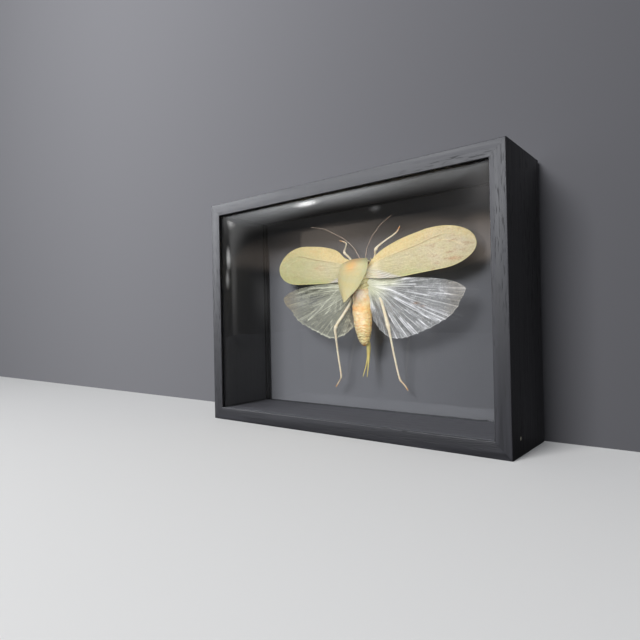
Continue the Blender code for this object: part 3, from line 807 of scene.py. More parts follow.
# Part of the way down, lift, half depth and half width.
ABDOMEN = (
    (0.000, 11.2, 4.4, 5.2), (0.037, 11.3, 5.9, 6.6), (0.130, 11.6, 6.5, 7.4),
    (0.226, 11.8, 6.6, 7.6), (0.363, 12.0, 6.8, 7.8), (0.544, 11.6, 6.0, 7.2),
    (0.726, 11.0, 5.2, 6.2), (0.853, 10.4, 4.1, 4.8), (0.953, 10.0, 2.6, 3.0),
    (1.000, 9.9, 0.9, 1.0),
)
ABDOMEN_TOP, ABDOMEN_TIP = -6.4, -49.4
ABDOMEN_SHIFT, ABDOMEN_SPREAD = 0.4, 1.05
CREASES = (
    -4.0, -11.4, -15.4, -19.0, -21.9, -25.3, -28.3, -30.7, -33.4, -36.1, -38.4, -40.4, -42.5, -44.4,
    -46.5, -49.0,
)
# Part of the way down, height z, half width, and the lift of the rim and of the ridge.
HOOD = (
    (0.00, 16.8, 7.0, 14.4, 15.8), (0.09, 14.6, 10.4, 18.6, 20.6), (0.18, 12.4, 12.2, 21.2, 23.4),
    (0.32, 8.0, 12.7, 23.0, 25.7), (0.46, 3.5, 12.2, 25.0, 27.9), (0.61, -1.5, 10.6, 27.2, 30.0),
    (0.76, -7.0, 7.9, 29.3, 31.7), (0.89, -12.0, 4.0, 32.0, 33.4), (1.00, -16.7, 0.5, 34.8, 34.9),
)
HOOD_THICKNESS, HOOD_RIM_THICKNESS = 0.9, 0.35


def add_thorax():
    """The chest: ellipses, drawn in along slanting furrows on the flanks and behind.

    A ring is half width times the cosine to the side and half depth times the sine
    towards the viewer. The furrows are bells at even steps along the chest, shifted by
    the cosine.
    """
    along, turn = np.linspace(0.0, 1.0, 121)[:, None], around(96)[None]
    knots = np.column_stack([np.linspace(0.0, 1.0, len(THORAX)), THORAX])
    z, lift, depth, width = smooth_through(knots, along[:, 0])[:, :, None]
    slant = (along * 14.0 + 1.6 * np.cos(turn) + 0.5) % 1.0
    furrow = bell(slant, 0.5, 0.11) * (0.55 + 0.45 * np.cos(turn) ** 2)
    scale = 1.0 - 0.035 * furrow
    rings = placed(width * scale * np.cos(turn), lift + depth * scale * np.sin(turn), z)
    # The furrow mask also carries painted shade: the chest's colour darkens along it.
    masks = spread(scale.shape, furrow=furrow)
    make_piece("chest", [closed_loft(rings)], make_chest(), ("thorax",), masks)


def add_abdomen():
    """Overlapping rings with creased, slightly shrunken skin, narrower towards the tip.

    Along a ring the radius swells as a sine to the power 0.6 and flares by its place in
    the ring, then steps in under the next one; both grow towards the tip. Wrinkles run
    round it as thin waves whose place along the body is bent by a soft random field.
    """
    t, turn = np.linspace(0.0, 1.0, 421)[:, None], around(128)[None]
    side = np.cos(turn)
    lift, depth, width = smooth_through(ABDOMEN, t[:, 0])[:, :, None]
    z = ABDOMEN_TOP + (ABDOMEN_TIP - ABDOMEN_TOP) * t
    skin = stacked(width * side, depth * np.sin(turn), z)
    ring = np.interp(-z, -np.array(CREASES), np.arange(len(CREASES)))
    place = ring + 0.26 * waves(skin, 9.0, 11) + 0.22 * waves(skin, 3.6, 15)
    phase = place % 1.0
    swell = np.sin(np.pi * phase) ** 0.6
    flare = phase * (1.0 - np.exp((phase - 1.0) / 0.08))
    deep = 0.32 + 1.05 * smooth_step(t, 0.35, 0.85)
    wrinkle = np.sin(2 * np.pi * (place * 3.0 + 1.1 * waves(skin, 4.5, 12)))
    wrinkle = wrinkle * np.clip(0.35 + 0.8 * waves(skin, 5.0, 13), 0.0, 1.0)
    belt = bell(z, -21.3, 2.6)
    dents = waves(skin, 3.4, 14)
    scale = 0.95 + deep * (0.035 * swell + 0.022 * flare)
    scale = scale + 0.013 * (1 + belt) * wrinkle + 0.016 * dents
    x = ABDOMEN_SHIFT + ABDOMEN_SPREAD * width * scale * side
    points = placed(x, lift + depth * scale * np.sin(turn), z)
    # Painted highlight: where the abdomen's colour is made near white, and its creases lighter.
    shine = 0.95 * bell(z, -9.5, 4.2) * bell(side, 0.08, 0.56)
    # Crease mask: darker in the ring creases, wrinkle valleys and dents (partly painted shade), and
    # at the very tip.
    crease = deep * ramp(1.35 * swell, 1.0, 0.0) + (0.42 + 0.4 * belt) * ramp(-wrinkle, 0.0, 1.0)
    crease = crease + 0.35 * ramp(-dents, 0.6, 1.6) + 0.9 * smooth_step(t, 0.95, 0.99)
    masks = spread(
        scale.shape,
        crease=crease * (1.0 - 0.7 * shine),
        belt=0.85 * belt,
        blush=bell(z, -8.6, 2.6) * bell(side, -0.6, 0.4),
        shine=shine,
        amber=0.7 * ramp(side, 0.45, 0.85) * ramp(-z, 14.0, 20.0),
        tail=ramp(t, 0.62, 0.82),
    )
    make_piece(
        "ringed_abdomen", [closed_loft(points)], make_rings(), ("abdomen",), masks
    )


def add_hood(shell):
    """The shield over the chest.

    At t from its front edge to its tip, across from -1 to 1: x is half width times
    across, and the lift climbs from rim to ridge by 1 - |across|^2.6. Two shallow
    furrows cross it, a low keel runs down it, and the rim rolls into a low bead. The
    inner skin lies one thickness behind, less near the rim.
    """
    t = np.linspace(0.0, 1.0, 141)[:, None]
    across = np.sin(np.pi / 2 * np.linspace(-1.0, 1.0, 97))[None]
    z, half_width, rim, ridge = smooth_through(HOOD, t[:, 0])[:, :, None]
    inwards = 1.0 - np.abs(across)
    x = half_width * across
    lift = rim + (ridge - rim) * (1.0 - np.abs(across) ** 2.6)
    lift = lift + 0.12 * bell(inwards * half_width, 0.0, 0.55)
    for depth, start, bow in ((0.25, 0.30, 0.08), (0.18, 0.47, 0.10)):
        lift = lift - depth * bell(t - bow * across**2, start, 0.018) * (1 - across**2)
    lift = lift + 0.10 * bell(x, 0.0, 0.8) * ramp(3.0 * t, 0.0, 1.0)
    thickness = HOOD_THICKNESS - HOOD_RIM_THICKNESS
    thickness = HOOD_RIM_THICKNESS + thickness * ramp(inwards, 0.0, 0.12)
    front = placed(x, lift + 0.03 * waves(stacked(x, z), 2.2, 21), z)
    back = placed(x, lift - thickness, z)
    ripe = bell(x, -1.2, 5.0) * bell(z, 11.0, 5.0)
    ripe = np.maximum(ripe, 0.7 * bell(x, -2.0, 7.0) * bell(z, 15.5, 1.6))
    edge = bell((1.0 - across) * half_width, 0.0, 3.2) * ramp(1.2 - t, 0.0, 1.0)
    masks = spread(x.shape, 2, ripe=ripe, edge=edge)
    make_piece("hood_shell", [closed_sheet(front, back)], shell, ("hood",), masks)


def ball_solid(centre, radii, rows, sides, ridge=0.0):
    """An egg: radii times the sine of the polar angle to the side and to the viewer, and
    times its cosine upwards. A ridge of that height runs down its front."""
    polar, turn = np.linspace(0.04, np.pi - 0.04, rows)[:, None], around(sides)[None]
    scale = 1.0 + ridge * bell(turn, np.pi / 2, 0.25) * np.sin(polar)
    return closed_loft(placed(
        centre[0] + radii[0] * scale * np.sin(polar) * np.cos(turn),
        centre[1] + radii[1] * scale * np.sin(polar) * np.sin(turn),
        centre[2] + radii[2] * scale * np.cos(polar),
    ))


def add_head(shell):
    """The head: an egg with a low ridge down its face, feeler sockets, jaws and palps."""
    socket = [(1.3, 7.6, 14.9, 0.75), (1.6, 8.2, 15.5, 0.7), (1.9, 8.7, 16.0, 0.5)]
    jaw = [(1.2, 3.6, 14.4, 1.0), (1.0, 2.6, 15.6, 0.9), (0.5, 2.2, 16.6, 0.4)]
    palp = [(1.9, 3.2, 14.0, 0.4), (2.9, 2.2, 15.6, 0.33)]
    palp += [(2.6, 1.7, 17.2, 0.36), (2.0, 1.5, 18.2, 0.2)]
    solids = [ball_solid((0.0, 6.5, 12.2), (4.3, 4.4, 4.2), 57, 72, 0.03)]
    eyes = []
    for sign in SIDES.values():
        for stations in (socket, jaw, palp):
            solids.append(closed_loft(tube(mirrored(stations, sign), 14, 14)))
        eyes.append(ball_solid((sign * 3.9, 7.6, 13.4), (1.2, 1.3, 1.5), 25, 32))
    make_piece("head_shell", solids, shell, ("head",))
    make_piece("eyes", eyes, make_eye())


# ---------------------------------------------------------------- upper wings

FOREWING_ROOT, FOREWING_START = (6.7, 9.5), -1.8
# Just short of the tip, where both edges would meet in one point.
FOREWING_END = 0.99985
FOREWING_CROSS_STEP, FOREWING_CROSS_WIDTH = 2.6, 0.17
# Edges as (reach along the wing's axis, height over it); tilt is in degrees.
FOREWINGS = {
    "left": {
        "tilt": 4.9, "length": 81.4, "round_from": (59.5, 51.5), "power": (2.5, 2.0),
        "edges": (
            ((-2, -7.3), (2, -8.1), (8, -9.3), (15, -10.4), (24, -11.3), (38.6, -12.3),
             (59.5, -13.3)),
            ((-2, 0.6), (0, 1.4), (3.6, 6.3), (9.6, 8.6), (18.6, 14.4), (32.6, 17.6), (51.5, 18.7)),
        ),
        "spot": (0.55, (35.0, 5.5), (0.5, 2.2)),
    },
    "right": {
        "tilt": 7.6, "length": 82.9, "round_from": (58.0, 48.0), "power": (2.0, 2.3),
        "edges": (
            ((-2, -7.5), (2, -8.4), (6, -9.3), (12, -10.3), (23, -11.8), (37, -12.1), (58, -12.5)),
            ((-2, 0.6), (0, 1.4), (4, 5.4), (9.1, 9.0), (15, 11.8), (29, 15.5), (48, 17.7)),
        ),
        "spot": (0.6, (66.0, 3.5), (-7.5, 1.8)),
    },
}
# Below this height, by reach, the membrane is gathered into folds.
GATHERED = ((-2, 1.6), (6, -1.4), (14, -5.2), (22, -9.2), (32, -14.0))
# Reach, height and lift of the main vein.
MAIN_VEIN = (
    (-2, -1.4, 14.6), (0, -1.0, 14.0), (4, 0.8, 13.0), (12, 4.0, 12.0), (40, 8.0, 10.4),
    (64, 10.6, 9.0), (82, 1.0, 8.0),
)


def edge_height(wing, edge, reach):
    """Height of an edge over the wing's axis: 0 is the trailing, 1 the leading edge.

    Past its round_from reach it closes as height times the root of 1 - t^power.
    """
    height = smooth_through(wing["edges"][edge], reach)[0]
    start, power = wing["round_from"][edge], wing["power"][edge]
    t = ramp(reach, start, wing["length"])
    return height * np.sqrt(np.maximum(1.0 - t**power, 0.0))


def forewing_veins(length, reach, height, vein, below, above):
    """Masks of the long veins and of the cross veins, each 0 to 1.

    Stems leave the main vein for the tip, and others run fanwise through the rear field
    at fixed parts of the way to the trailing edge. Cross veins are thin bells at even
    steps of reach plus a slant in the height, bent by waves.
    """
    veins = [bell(height, vein, 0.42) * ramp(reach, length - 6.0, length - 20.0)]
    costa = vein + (above - vein) * 0.45
    veins.append(0.5 * bell(height, costa, 0.22) * (reach < length * 0.7))
    for start, drop in ((34.0, 0.16), (46.0, 0.26), (20.0, 0.11)):
        stem = vein - drop * np.maximum(reach - start, 0.0)
        shown = ramp(reach, start, start + 3.0) * ramp(reach, length - 4.0, length - 12.0)
        veins.append(0.75 * bell(height, stem, 0.26) * shown)
    for part in (0.30, 0.55, 0.78):
        line = vein + (below - vein) * part * np.clip(reach / 26.0, 0.15, 1.0)
        veins.append(0.55 * bell(height, line, 0.22) * ramp(reach, 62.4, 14.4))
    away = height - vein
    slant = np.where(away > 0, reach - 0.9 * away, reach + 0.7 * away)
    bend = 0.35 * waves(stacked(reach, height), 16.0, 31)
    phase = (slant / FOREWING_CROSS_STEP + bend) % 1.0
    cross = bell(phase, 0.5, FOREWING_CROSS_WIDTH / FOREWING_CROSS_STEP)
    return np.maximum.reduce(veins), cross


def add_forewing(side):
    """The leathery upper wing.

    Rows run from root to tip at the sine of even steps, columns from the trailing to the
    leading edge. Its lift is that of the main vein, less 0.20 of the height above it, or
    less 0.0025 of the squared height below it, with the veins standing proud and the
    skin between them gently waved.
    """
    wing, sign = FOREWINGS[side], SIDES[side]
    length, tilt = wing["length"], np.radians(wing["tilt"])
    reach = np.sin(np.pi / 2 * np.linspace(0.0, 1.0, 231))[:, None]
    reach = FOREWING_START + (length * FOREWING_END - FOREWING_START) * reach
    below, above = edge_height(wing, 0, reach), edge_height(wing, 1, reach)
    even = np.linspace(0.0, 1.0, 101)[None]
    part = 0.35 * (0.5 - 0.5 * np.cos(np.pi * even)) + 0.65 * even
    height = below + (above - below) * part
    reach = np.broadcast_to(reach, height.shape)
    vein, lift = smooth_through(MAIN_VEIN, reach)
    away = height - vein
    lift = lift - np.where(away > 0, 0.20 * away, 0.0025 * away**2)
    long_veins, cross = forewing_veins(length, reach, height, vein, below, above)
    flat = stacked(reach, height)
    inset = np.minimum(np.minimum(height - below, above - height), (length - reach) * 1.2)
    inside, rim = ramp(inset, 0.0, 4.0), bell(inset, 0.0, 0.45)
    skin = 0.16 * waves(flat, 17.0, 32 + int(sign)) + 0.05 * waves(flat, 5.0, 35)
    gather = ramp(smooth_through(GATHERED, reach)[0] - height, 0.0, 2.2)
    folds = np.sin(2 * np.pi * (height / 1.7 + 0.25 * waves(flat, 9.0, 36)))
    relief = 0.24 * long_veins + 0.05 * cross * inside + 0.10 * rim + 0.11 * gather * folds
    x = FOREWING_ROOT[0] + reach * np.cos(tilt) - height * np.sin(tilt)
    z = FOREWING_ROOT[1] + reach * np.sin(tilt) + height * np.cos(tilt)
    lift = lift + skin * inside
    front = placed(sign * x, lift + relief, z)
    back = placed(sign * x, lift - (0.30 - 0.12 * rim) - 0.5 * relief, z)
    strength, spot_reach, spot_height = wing["spot"]
    # Mask of painted shade in the crease just below the main vein.
    crease = bell(height, vein - 0.75, 0.3) * smooth_step(reach, 18.0, 30.0)
    masks = spread(
        height.shape, 2,
        lead=1.0 / (1.0 + np.exp(-np.clip(away / 0.8, -30.0, 30.0))),
        rear=bell(height, below, 4.0) * ramp(reach, 12.0, 32.0),
        tip=ramp(reach, 30.0, 55.0) * ramp(away, 10.0, 0.0),
        vein=long_veins + 0.35 * cross,
        rim=rim,
        spot=strength * bell(reach, *spot_reach) * bell(height, *spot_height),
        crease=crease * smooth_step(reach, 64.0, 56.0),
        gather=gather,
        # Root mask: cream colour, partly painted light against the hood's shade.
        base=0.75 * smooth_step(reach, 12.0, 2.0) * smooth_step(away, 2.0, -2.0),
        # Fold mask: 1 on the ridges of the gathered folds, 0 in their valleys; it carries painted
        # light and shade.
        fold=0.5 + 0.5 * folds,
    )
    make_piece(
        f"leathery_wing_{side}", [closed_sheet(front, back)], make_leaf_wing(side),
        (f"forewing_{side}",), masks, np.tile(flat.reshape(-1, 2) / 100.0, (2, 1)),
    )


# ---------------------------------------------------------------- clear wings

HINDWING_ROOT, HINDWING_ROOT_RADIUS = (6.9, 0.5), 1.6
PLEATS = 17
FAN_CENTRE, FAN_SHEET = (5.6, -3.6), 80.0
FAN_CROSS_STEP, FAN_CROSS_WIDTH = 1.9, 0.16
FOLD_ANGLE = np.radians(160.0) / (2 * PLEATS)
HINDWING_LIFT = ((0, 8.0), (5, 6.4), (10, 5.3), (17, 5.5), (32, 8.2), (46, 9.8), (76, 10.6))

# On the clear wings a place is (degrees below level, radius), both from HINDWING_ROOT.
REACH_TO_LEVEL = ((-72, 9.5), (-34, 15.5), (-10, 22.5), (0, 29.0), (1.3, 40.0), (3.4, 60.5))
HINDWING_REACH = {
    "left": REACH_TO_LEVEL + (
        (5.6, 70.3), (8.2, 75.7), (14.7, 72.1), (18.5, 69.0), (26, 66.3), (38, 58.7), (47, 54.8),
        (60, 51.3), (73, 44.3), (88, 33.0),
    ),
    "right": REACH_TO_LEVEL + (
        (5.4, 70.3), (8.1, 75.8), (14, 74.3), (23, 71.2), (29, 66.5), (39, 60.2), (49, 55.3),
        (61, 50.8), (71, 45.8), (80, 38.0), (88, 31.0),
    ),
}
# White streaks: strength, half width, then the places that they run through.
STREAKS = {
    "right": (
        (0.8, 1.0, (2.2, 26.0), (2.2, 36.3)),
        (0.7, 1.1, (14.0, 17.0), (8.1, 37.8)),
        (0.7, 1.0, (10.9, 38.0), (8.3, 52.0)),
        (0.6, 1.5, (8.6, 56.3), (8.0, 68.8), (8.4, 74.2)),
        (0.7, 1.0, (6.2, 71.0), (8.6, 75.5)),
        (0.8, 1.0, (10.2, 56.5), (12.0, 63.0), (13.4, 68.9)),
        (0.8, 1.0, (14.7, 49.9), (13.6, 62.4)),
        (0.8, 1.0, (17.4, 31.8), (16.5, 48.2)),
        (0.9, 1.0, (47.8, 7.3), (28.6, 16.7), (26.1, 33.9), (28.2, 42.3)),
        (1.0, 1.0, (26.0, 48.3), (24.8, 59.3), (24.1, 70.4)),
        (0.8, 1.0, (28.7, 43.8), (28.0, 58.0), (29.7, 65.3)),
        (0.5, 1.6, (27.2, 55.2), (27.9, 64.3), (26.6, 68.6)),
        (0.9, 1.0, (36.5, 24.0), (30.8, 40.8), (31.9, 52.9), (30.2, 62.7)),
        (0.8, 1.0, (38.3, 37.3), (36.8, 47.9), (38.6, 58.6)),
        (0.7, 1.0, (40.8, 49.9), (39.3, 59.2)),
        (1.0, 1.0, (50.0, 38.4), (49.1, 46.9), (48.1, 54.1)),
        (0.8, 1.0, (47.5, 45.3), (47.5, 55.8)),
        (0.6, 1.7, (61.9, 30.8), (58.4, 42.0), (54.7, 51.1)),
        (0.6, 1.7, (62.7, 36.2), (64.3, 48.5)),
        (0.7, 1.0, (98.1, 11.3), (83.7, 21.8)),
        (0.7, 1.0, (89.3, 33.5), (81.0, 39.1), (74.1, 44.9), (62.0, 50.4)),
    ),
    "left": (
        (0.8, 1.0, (7.1, 21.2), (5.7, 30.4), (4.2, 43.6), (6.4, 61.4)),
        (0.7, 1.0, (7.8, 33.7), (10.4, 47.1), (9.4, 61.8)),
        (0.7, 1.0, (16.3, 53.8), (14.0, 69.4)),
        (1.0, 1.0, (15.5, 21.3), (25.5, 31.8), (30.5, 44.2), (31.5, 55.3)),
        (0.8, 1.0, (25.4, 38.7), (28.3, 52.3), (27.4, 62.4)),
        (0.9, 1.0, (31.6, 26.8), (36.4, 32.3), (39.0, 38.7)),
        (0.8, 1.0, (24.7, 23.0), (42.6, 28.5), (46.9, 31.2)),
        (0.8, 1.0, (37.3, 20.6), (51.4, 27.1)),
        (0.7, 1.0, (51.0, 38.3), (56.7, 45.1)),
        (0.8, 1.0, (69.4, 33.0), (74.7, 30.8), (83.4, 35.5), (72.5, 40.6)),
        (0.9, 1.0, (18.6, 69.1), (24.7, 67.6), (31.5, 63.0), (42.2, 56.0), (59.9, 50.7),
         (67.1, 47.1)),
        (0.9, 1.0, (67.1, 47.1), (77.3, 41.0), (83.2, 34.7)),
        (0.5, 1.8, (8.0, 47.3), (10.8, 41.5)),
        (0.5, 1.8, (24.1, 39.4), (22.1, 44.7)),
        (0.7, 1.0, (2.0, 24.0), (9.0, 22.0)),
        (1.0, 0.8, (6.7, 18.0), (6.4, 34.9)),
        (0.9, 0.8, (22.6, 22.8), (24.9, 30.0), (26.5, 39.0)),
    ),
}
# Clearer gaps between them, in the same way.
CLEAR_GAPS = {
    "right": (
        (1.0, 0.9, (40.6, 38.6), (40.3, 48.9), (39.1, 56.3)),
        (1.0, 0.9, (54.6, 33.5), (52.4, 44.6), (50.0, 54.4)),
        (1.0, 0.5, (10.3, 12.0), (10.3, 15.7), (6.5, 38.8)),
        (0.9, 0.7, (14.4, 32.5), (10.2, 49.2)),
        (0.9, 0.9, (64.0, 33.6), (59.3, 46.8)),
        (0.9, 0.7, (27.9, 49.7), (27.9, 60.2)),
        (0.9, 0.8, (38.4, 26.4), (38.0, 40.1), (37.7, 48.5)),
        (1.0, 1.3, (85.2, 16.6), (73.9, 24.9), (72.8, 31.5)),
        (0.9, 2.0, (78.0, 28.0), (70.0, 42.0)),
    ),
    "left": (
        (1.0, 0.7, (7.0, 31.1), (6.6, 43.8), (8.6, 58.7)),
        (1.0, 0.9, (14.4, 36.1), (12.7, 46.8)),
        (1.0, 0.9, (19.4, 29.5), (18.1, 40.2), (19.0, 49.7)),
        (0.9, 1.2, (60.0, 18.0), (62.0, 34.0)),
        (0.8, 1.6, (84.0, 14.0), (80.0, 26.0)),
    ),
}


def line_mask(lines, x, z):
    """Mask of drawn lines: for each, its strength times a bell of the distance to it.

    The distance to a line is that to the nearest of its straight pieces, and from a
    place to a piece it is measured at the foot of the perpendicular, kept between 0 and
    1 of the way along.
    """
    mask = np.zeros_like(x)
    for strength, width, *knots in lines:
        angle, radius = np.array(knots).T
        px, pz = radius * np.cos(np.radians(angle)), -radius * np.sin(np.radians(angle))
        for i in range(len(knots) - 1):
            dx, dz = px[i + 1] - px[i], pz[i + 1] - pz[i]
            way = np.clip(((x - px[i]) * dx + (z - pz[i]) * dz) / (dx**2 + dz**2), 0.0, 1.0)
            apart = np.hypot(x - px[i] - way * dx, z - pz[i] - way * dz)
            mask = np.maximum(mask, strength * bell(apart, 0.0, width))
    return mask


def add_hindwing(side):
    """The clear wing behind, a fan folded in pleats from its centre.

    Columns run from the fan's centre to the outline, which is a reach by the angle below
    the horizontal about the wing's root; rows go outwards. Between two folds the lift
    swings as a rounded zigzag, each pleat with a depth of its own, and the membrane's
    edge draws in a little between the veins on the folds. The rear edge stands up along
    the body. Cross veins are thin bells at even steps of the radius, shifted from pleat
    to pleat.
    """
    sign, folds, per_fold = SIDES[side], 2 * PLEATS, 12
    fold = np.linspace(0.0, folds, folds * per_fold + 1)[None]
    number = np.round(fold).astype(int)
    radii = HINDWING_REACH[side]
    first, last = radii[0][0], radii[-1][0]
    draw = np.random.default_rng(41 + int(sign))
    jitter = np.concatenate([[0.0], draw.uniform(-0.22, 0.22, folds - 1), [0.0]])
    depth = draw.uniform(0.35, 1.0, folds + 1)[number]
    strong = draw.uniform(0.3, 1.0, folds + 1)[number]
    angle = first + (last - first) * (fold + np.interp(fold, np.arange(folds + 1), jitter)) / folds
    to_fold = np.abs((fold + 0.5) % 1.0 - 0.5)
    drawn_in = 0.6 * np.sin(np.pi * to_fold) * ramp(angle, -5.0, 15.0)
    reach = smooth_through(radii, angle)[0] - drawn_in
    out_x = HINDWING_ROOT[0] + reach * np.cos(np.radians(angle)) - FAN_CENTRE[0]
    out_z = HINDWING_ROOT[1] - reach * np.sin(np.radians(angle)) - FAN_CENTRE[1]
    full = np.hypot(out_x, out_z)
    part = np.linspace(0.0, 1.0, 111)[:, None]
    radius = HINDWING_ROOT_RADIUS + (full - HINDWING_ROOT_RADIUS) * part
    x, z = FAN_CENTRE[0] + out_x / full * radius, FAN_CENTRE[1] + out_z / full * radius
    from_root = (x - HINDWING_ROOT[0], z - HINDWING_ROOT[1])
    streak, gap = line_mask(STREAKS[side], *from_root), line_mask(CLEAR_GAPS[side], *from_root)
    upper = number % 2 == 1
    off_vein = to_fold * np.radians(np.abs(last - first) / folds) * radius
    vein_width = np.where(upper, 0.34, 0.22) * (1.15 - 0.5 * part)
    vein = bell(off_vein, 0.0, vein_width) * strong * np.where(upper, 1.0, 0.6)
    step = radius / FAN_CROSS_STEP + 0.5 * (np.floor(fold) % 2) + 0.16 * np.sin(fold * 2.4)
    cross = bell(step % 1.0, 0.5, FAN_CROSS_WIDTH / FAN_CROSS_STEP) * ramp(radius, 8.0, 28.0)
    relief = 0.10 * vein + 0.02 * cross
    zigzag = (1.0 - 2.0 * np.abs(((fold + 1.0) % 2.0) - 1.0)) * depth
    lean = smooth_step(angle, 62.0, 88.0) * smooth_step(radius, 2.0, 8.0)
    lean = lean * smooth_step(radius, 28.0, 16.0)
    lift = smooth_through(HINDWING_LIFT, np.hypot(*from_root))[0]
    lift = lift + 0.62 * zigzag * ramp(radius, 0.0, 26.0) + 0.25 * waves(stacked(x, z), 21.0, 43)
    lift = lift + 6.5 * bell(radius, 0.0, 7.0) + 8.0 * lean
    x = x + 2.2 * lean
    front = placed(sign * x, lift + relief, z)
    back = placed(sign * x, lift - 0.10 - 0.5 * relief, z)
    if side == "right":
        mark = 0.7 * bell(x, 44.8, 2.4) * bell(z, -18.5, 0.7)
        mark = mark + 0.45 * bell(x, 50.0, 2.0) * bell(z, -20.8, 0.6)
        tan, veil = 0.35 * smooth_step(x, 62.0, 76.0), 0.0
    else:
        mark = 0.0
        tan = 0.6 * smooth_step(x, 60.0, 78.0) * smooth_step(-z, 34.0, 18.0)
        tan = tan + 0.4 * smooth_step(-z, 2.0, 12.0) * bell(x, 12.0, 7.0)
        veil = 0.55 * smooth_step(radius, 52.0, 26.0) * smooth_step(angle, 56.0, 26.0)
    # The front lobe near the root: its own pale opaque colour, made paler as painted light where
    # the forewing shades it.
    fore_root_and_painted_light = smooth_step(angle, 14.0, -2.0) * smooth_step(radius, 34.0, 14.0)
    rear = smooth_step(angle, 70.0, 80.0) * smooth_step(radius, 14.0, 24.0)
    masks = spread(
        radius.shape, 2,
        edge=0.8 * bell(full, radius, 0.35),
        root=np.maximum(bell(radius, 0.0, 11.0), 0.8 * fore_root_and_painted_light),
        mark=mark,
        glow=np.maximum(streak, np.maximum(0.25 * lean, veil)),
        gap=np.maximum(gap, 0.7 * rear) * (1.0 - streak),
        tan=tan,
    )
    uv = stacked(fold / folds, radius / FAN_SHEET).reshape(-1, 2)
    make_piece(
        f"pleated_wing_{side}", [closed_sheet(front, back)], make_film(side),
        (f"hindwing_{side}",), masks, np.tile(uv, (2, 1)), crease=60.0,
    )


# ---------------------------------------------------------------- limbs

# Stations of x outwards, lift, z and radius, from the body to the claws.
FRONT_LEGS = {
    "left": (
        (5.6, 8.4, 7.0, 0.9), (11.0, 9.4, 17.3, 0.8), (14.1, 13.4, 22.7, 0.9),
        (17.2, 8.0, 27.0, 0.6), (20.3, 2.2, 31.7, 0.55), (24.0, 1.0, 33.8, 0.45),
        (27.6, 0.9, 35.0, 0.35),
    ),
    "right": (
        (5.6, 8.4, 7.0, 0.9), (10.8, 9.4, 17.8, 0.8), (14.6, 13.4, 22.9, 0.9),
        (18.6, 8.0, 28.6, 0.6), (23.9, 2.2, 34.0, 0.55), (26.0, 1.0, 36.4, 0.45),
        (27.8, 0.9, 39.4, 0.35),
    ),
}
MIDDLE_LEG = (
    (3.6, 5.9, 5.6, 0.85), (9.0, 3.6, 9.2, 0.75), (15.0, 2.6, 12.4, 0.8), (20.0, 1.8, 10.4, 0.55),
    (24.5, 1.2, 8.0, 0.5), (27.5, 0.9, 6.6, 0.4), (29.5, 0.8, 5.4, 0.35),
)
REAR_LEGS = {
    "left": (
        (7.6, 7.7, -7.6, 1.2), (12.4, 8.9, -16.0, 1.15), (17.8, 12.0, -25.6, 1.15),
        (22.9, 15.0, -34.8, 1.15), (24.2, 13.2, -43.0, 0.8), (25.6, 8.6, -58.6, 0.7),
        (26.4, 4.3, -73.6, 0.65), (29.2, 2.2, -77.4, 0.5), (31.8, 1.2, -80.4, 0.5),
        (34.2, 0.9, -83.4, 0.35),
    ),
    "right": (
        (7.2, 4.2, -7.0, 1.1), (12.6, 5.4, -14.0, 1.0), (18.6, 10.2, -23.4, 1.15),
        (24.5, 15.0, -34.2, 1.3), (25.2, 13.2, -42.0, 0.85), (26.0, 8.4, -59.6, 0.7),
        (27.0, 4.2, -73.4, 0.65), (28.9, 2.2, -77.4, 0.5), (30.2, 1.2, -79.6, 0.5),
        (31.8, 0.9, -82.2, 0.35),
    ),
}
ANTENNAE = {
    "left": (
        (1.9, 8.7, 15.7, 0.35), (3.0, 10.4, 19.2, 0.30), (5.4, 13.4, 25.6, 0.25),
        (8.9, 15.0, 29.6, 0.25), (13.8, 16.5, 33.8, 0.22), (22.0, 18.0, 38.5, 0.22),
        (29.4, 19.0, 42.3, 0.20), (41.5, 20.0, 45.2, 0.20),
    ),
    "right": (
        (1.9, 8.7, 15.7, 0.35), (3.4, 10.4, 18.6, 0.30), (6.2, 13.0, 23.7, 0.25),
        (9.6, 15.0, 27.5, 0.25), (14.1, 16.5, 32.9, 0.22), (17.0, 17.0, 35.1, 0.22),
        (21.5, 18.0, 39.1, 0.20), (32.1, 20.0, 44.3, 0.20),
    ),
}
BLADE = (
    (0.55, 5.4, -45.4, 1.35), (0.50, 4.0, -49.0, 1.35), (0.45, 3.9, -54.0, 1.15),
    (0.45, 4.4, -58.5, 0.95), (0.85, 5.8, -63.5, 0.65), (1.40, 7.6, -68.5, 0.55),
    (1.90, 9.6, -73.0, 0.40),
)
GLUE_Z = -3.0
# Lift and radius of the settled drop of glue.
GLUE = ((0.02, 3.3), (0.05, 3.6), (0.5, 3.5), (1.0, 3.3), (1.6, 2.95), (2.2, 2.5), (2.6, 2.2))


def thorn(base, direction, length, radius):
    """A tiny five-sided cone from its base along a direction."""
    direction = unit(direction)
    side = unit(np.cross(direction, (0.3, 0.5, 0.8)))
    turn = around(5)[:, None]
    ring = radius * (np.cos(turn) * side + np.sin(turn) * np.cross(direction, side))
    rings = np.stack([base + ring, base + direction * length * 0.5 + ring * 0.6])
    return closed_loft(rings, (None, base + direction * length))


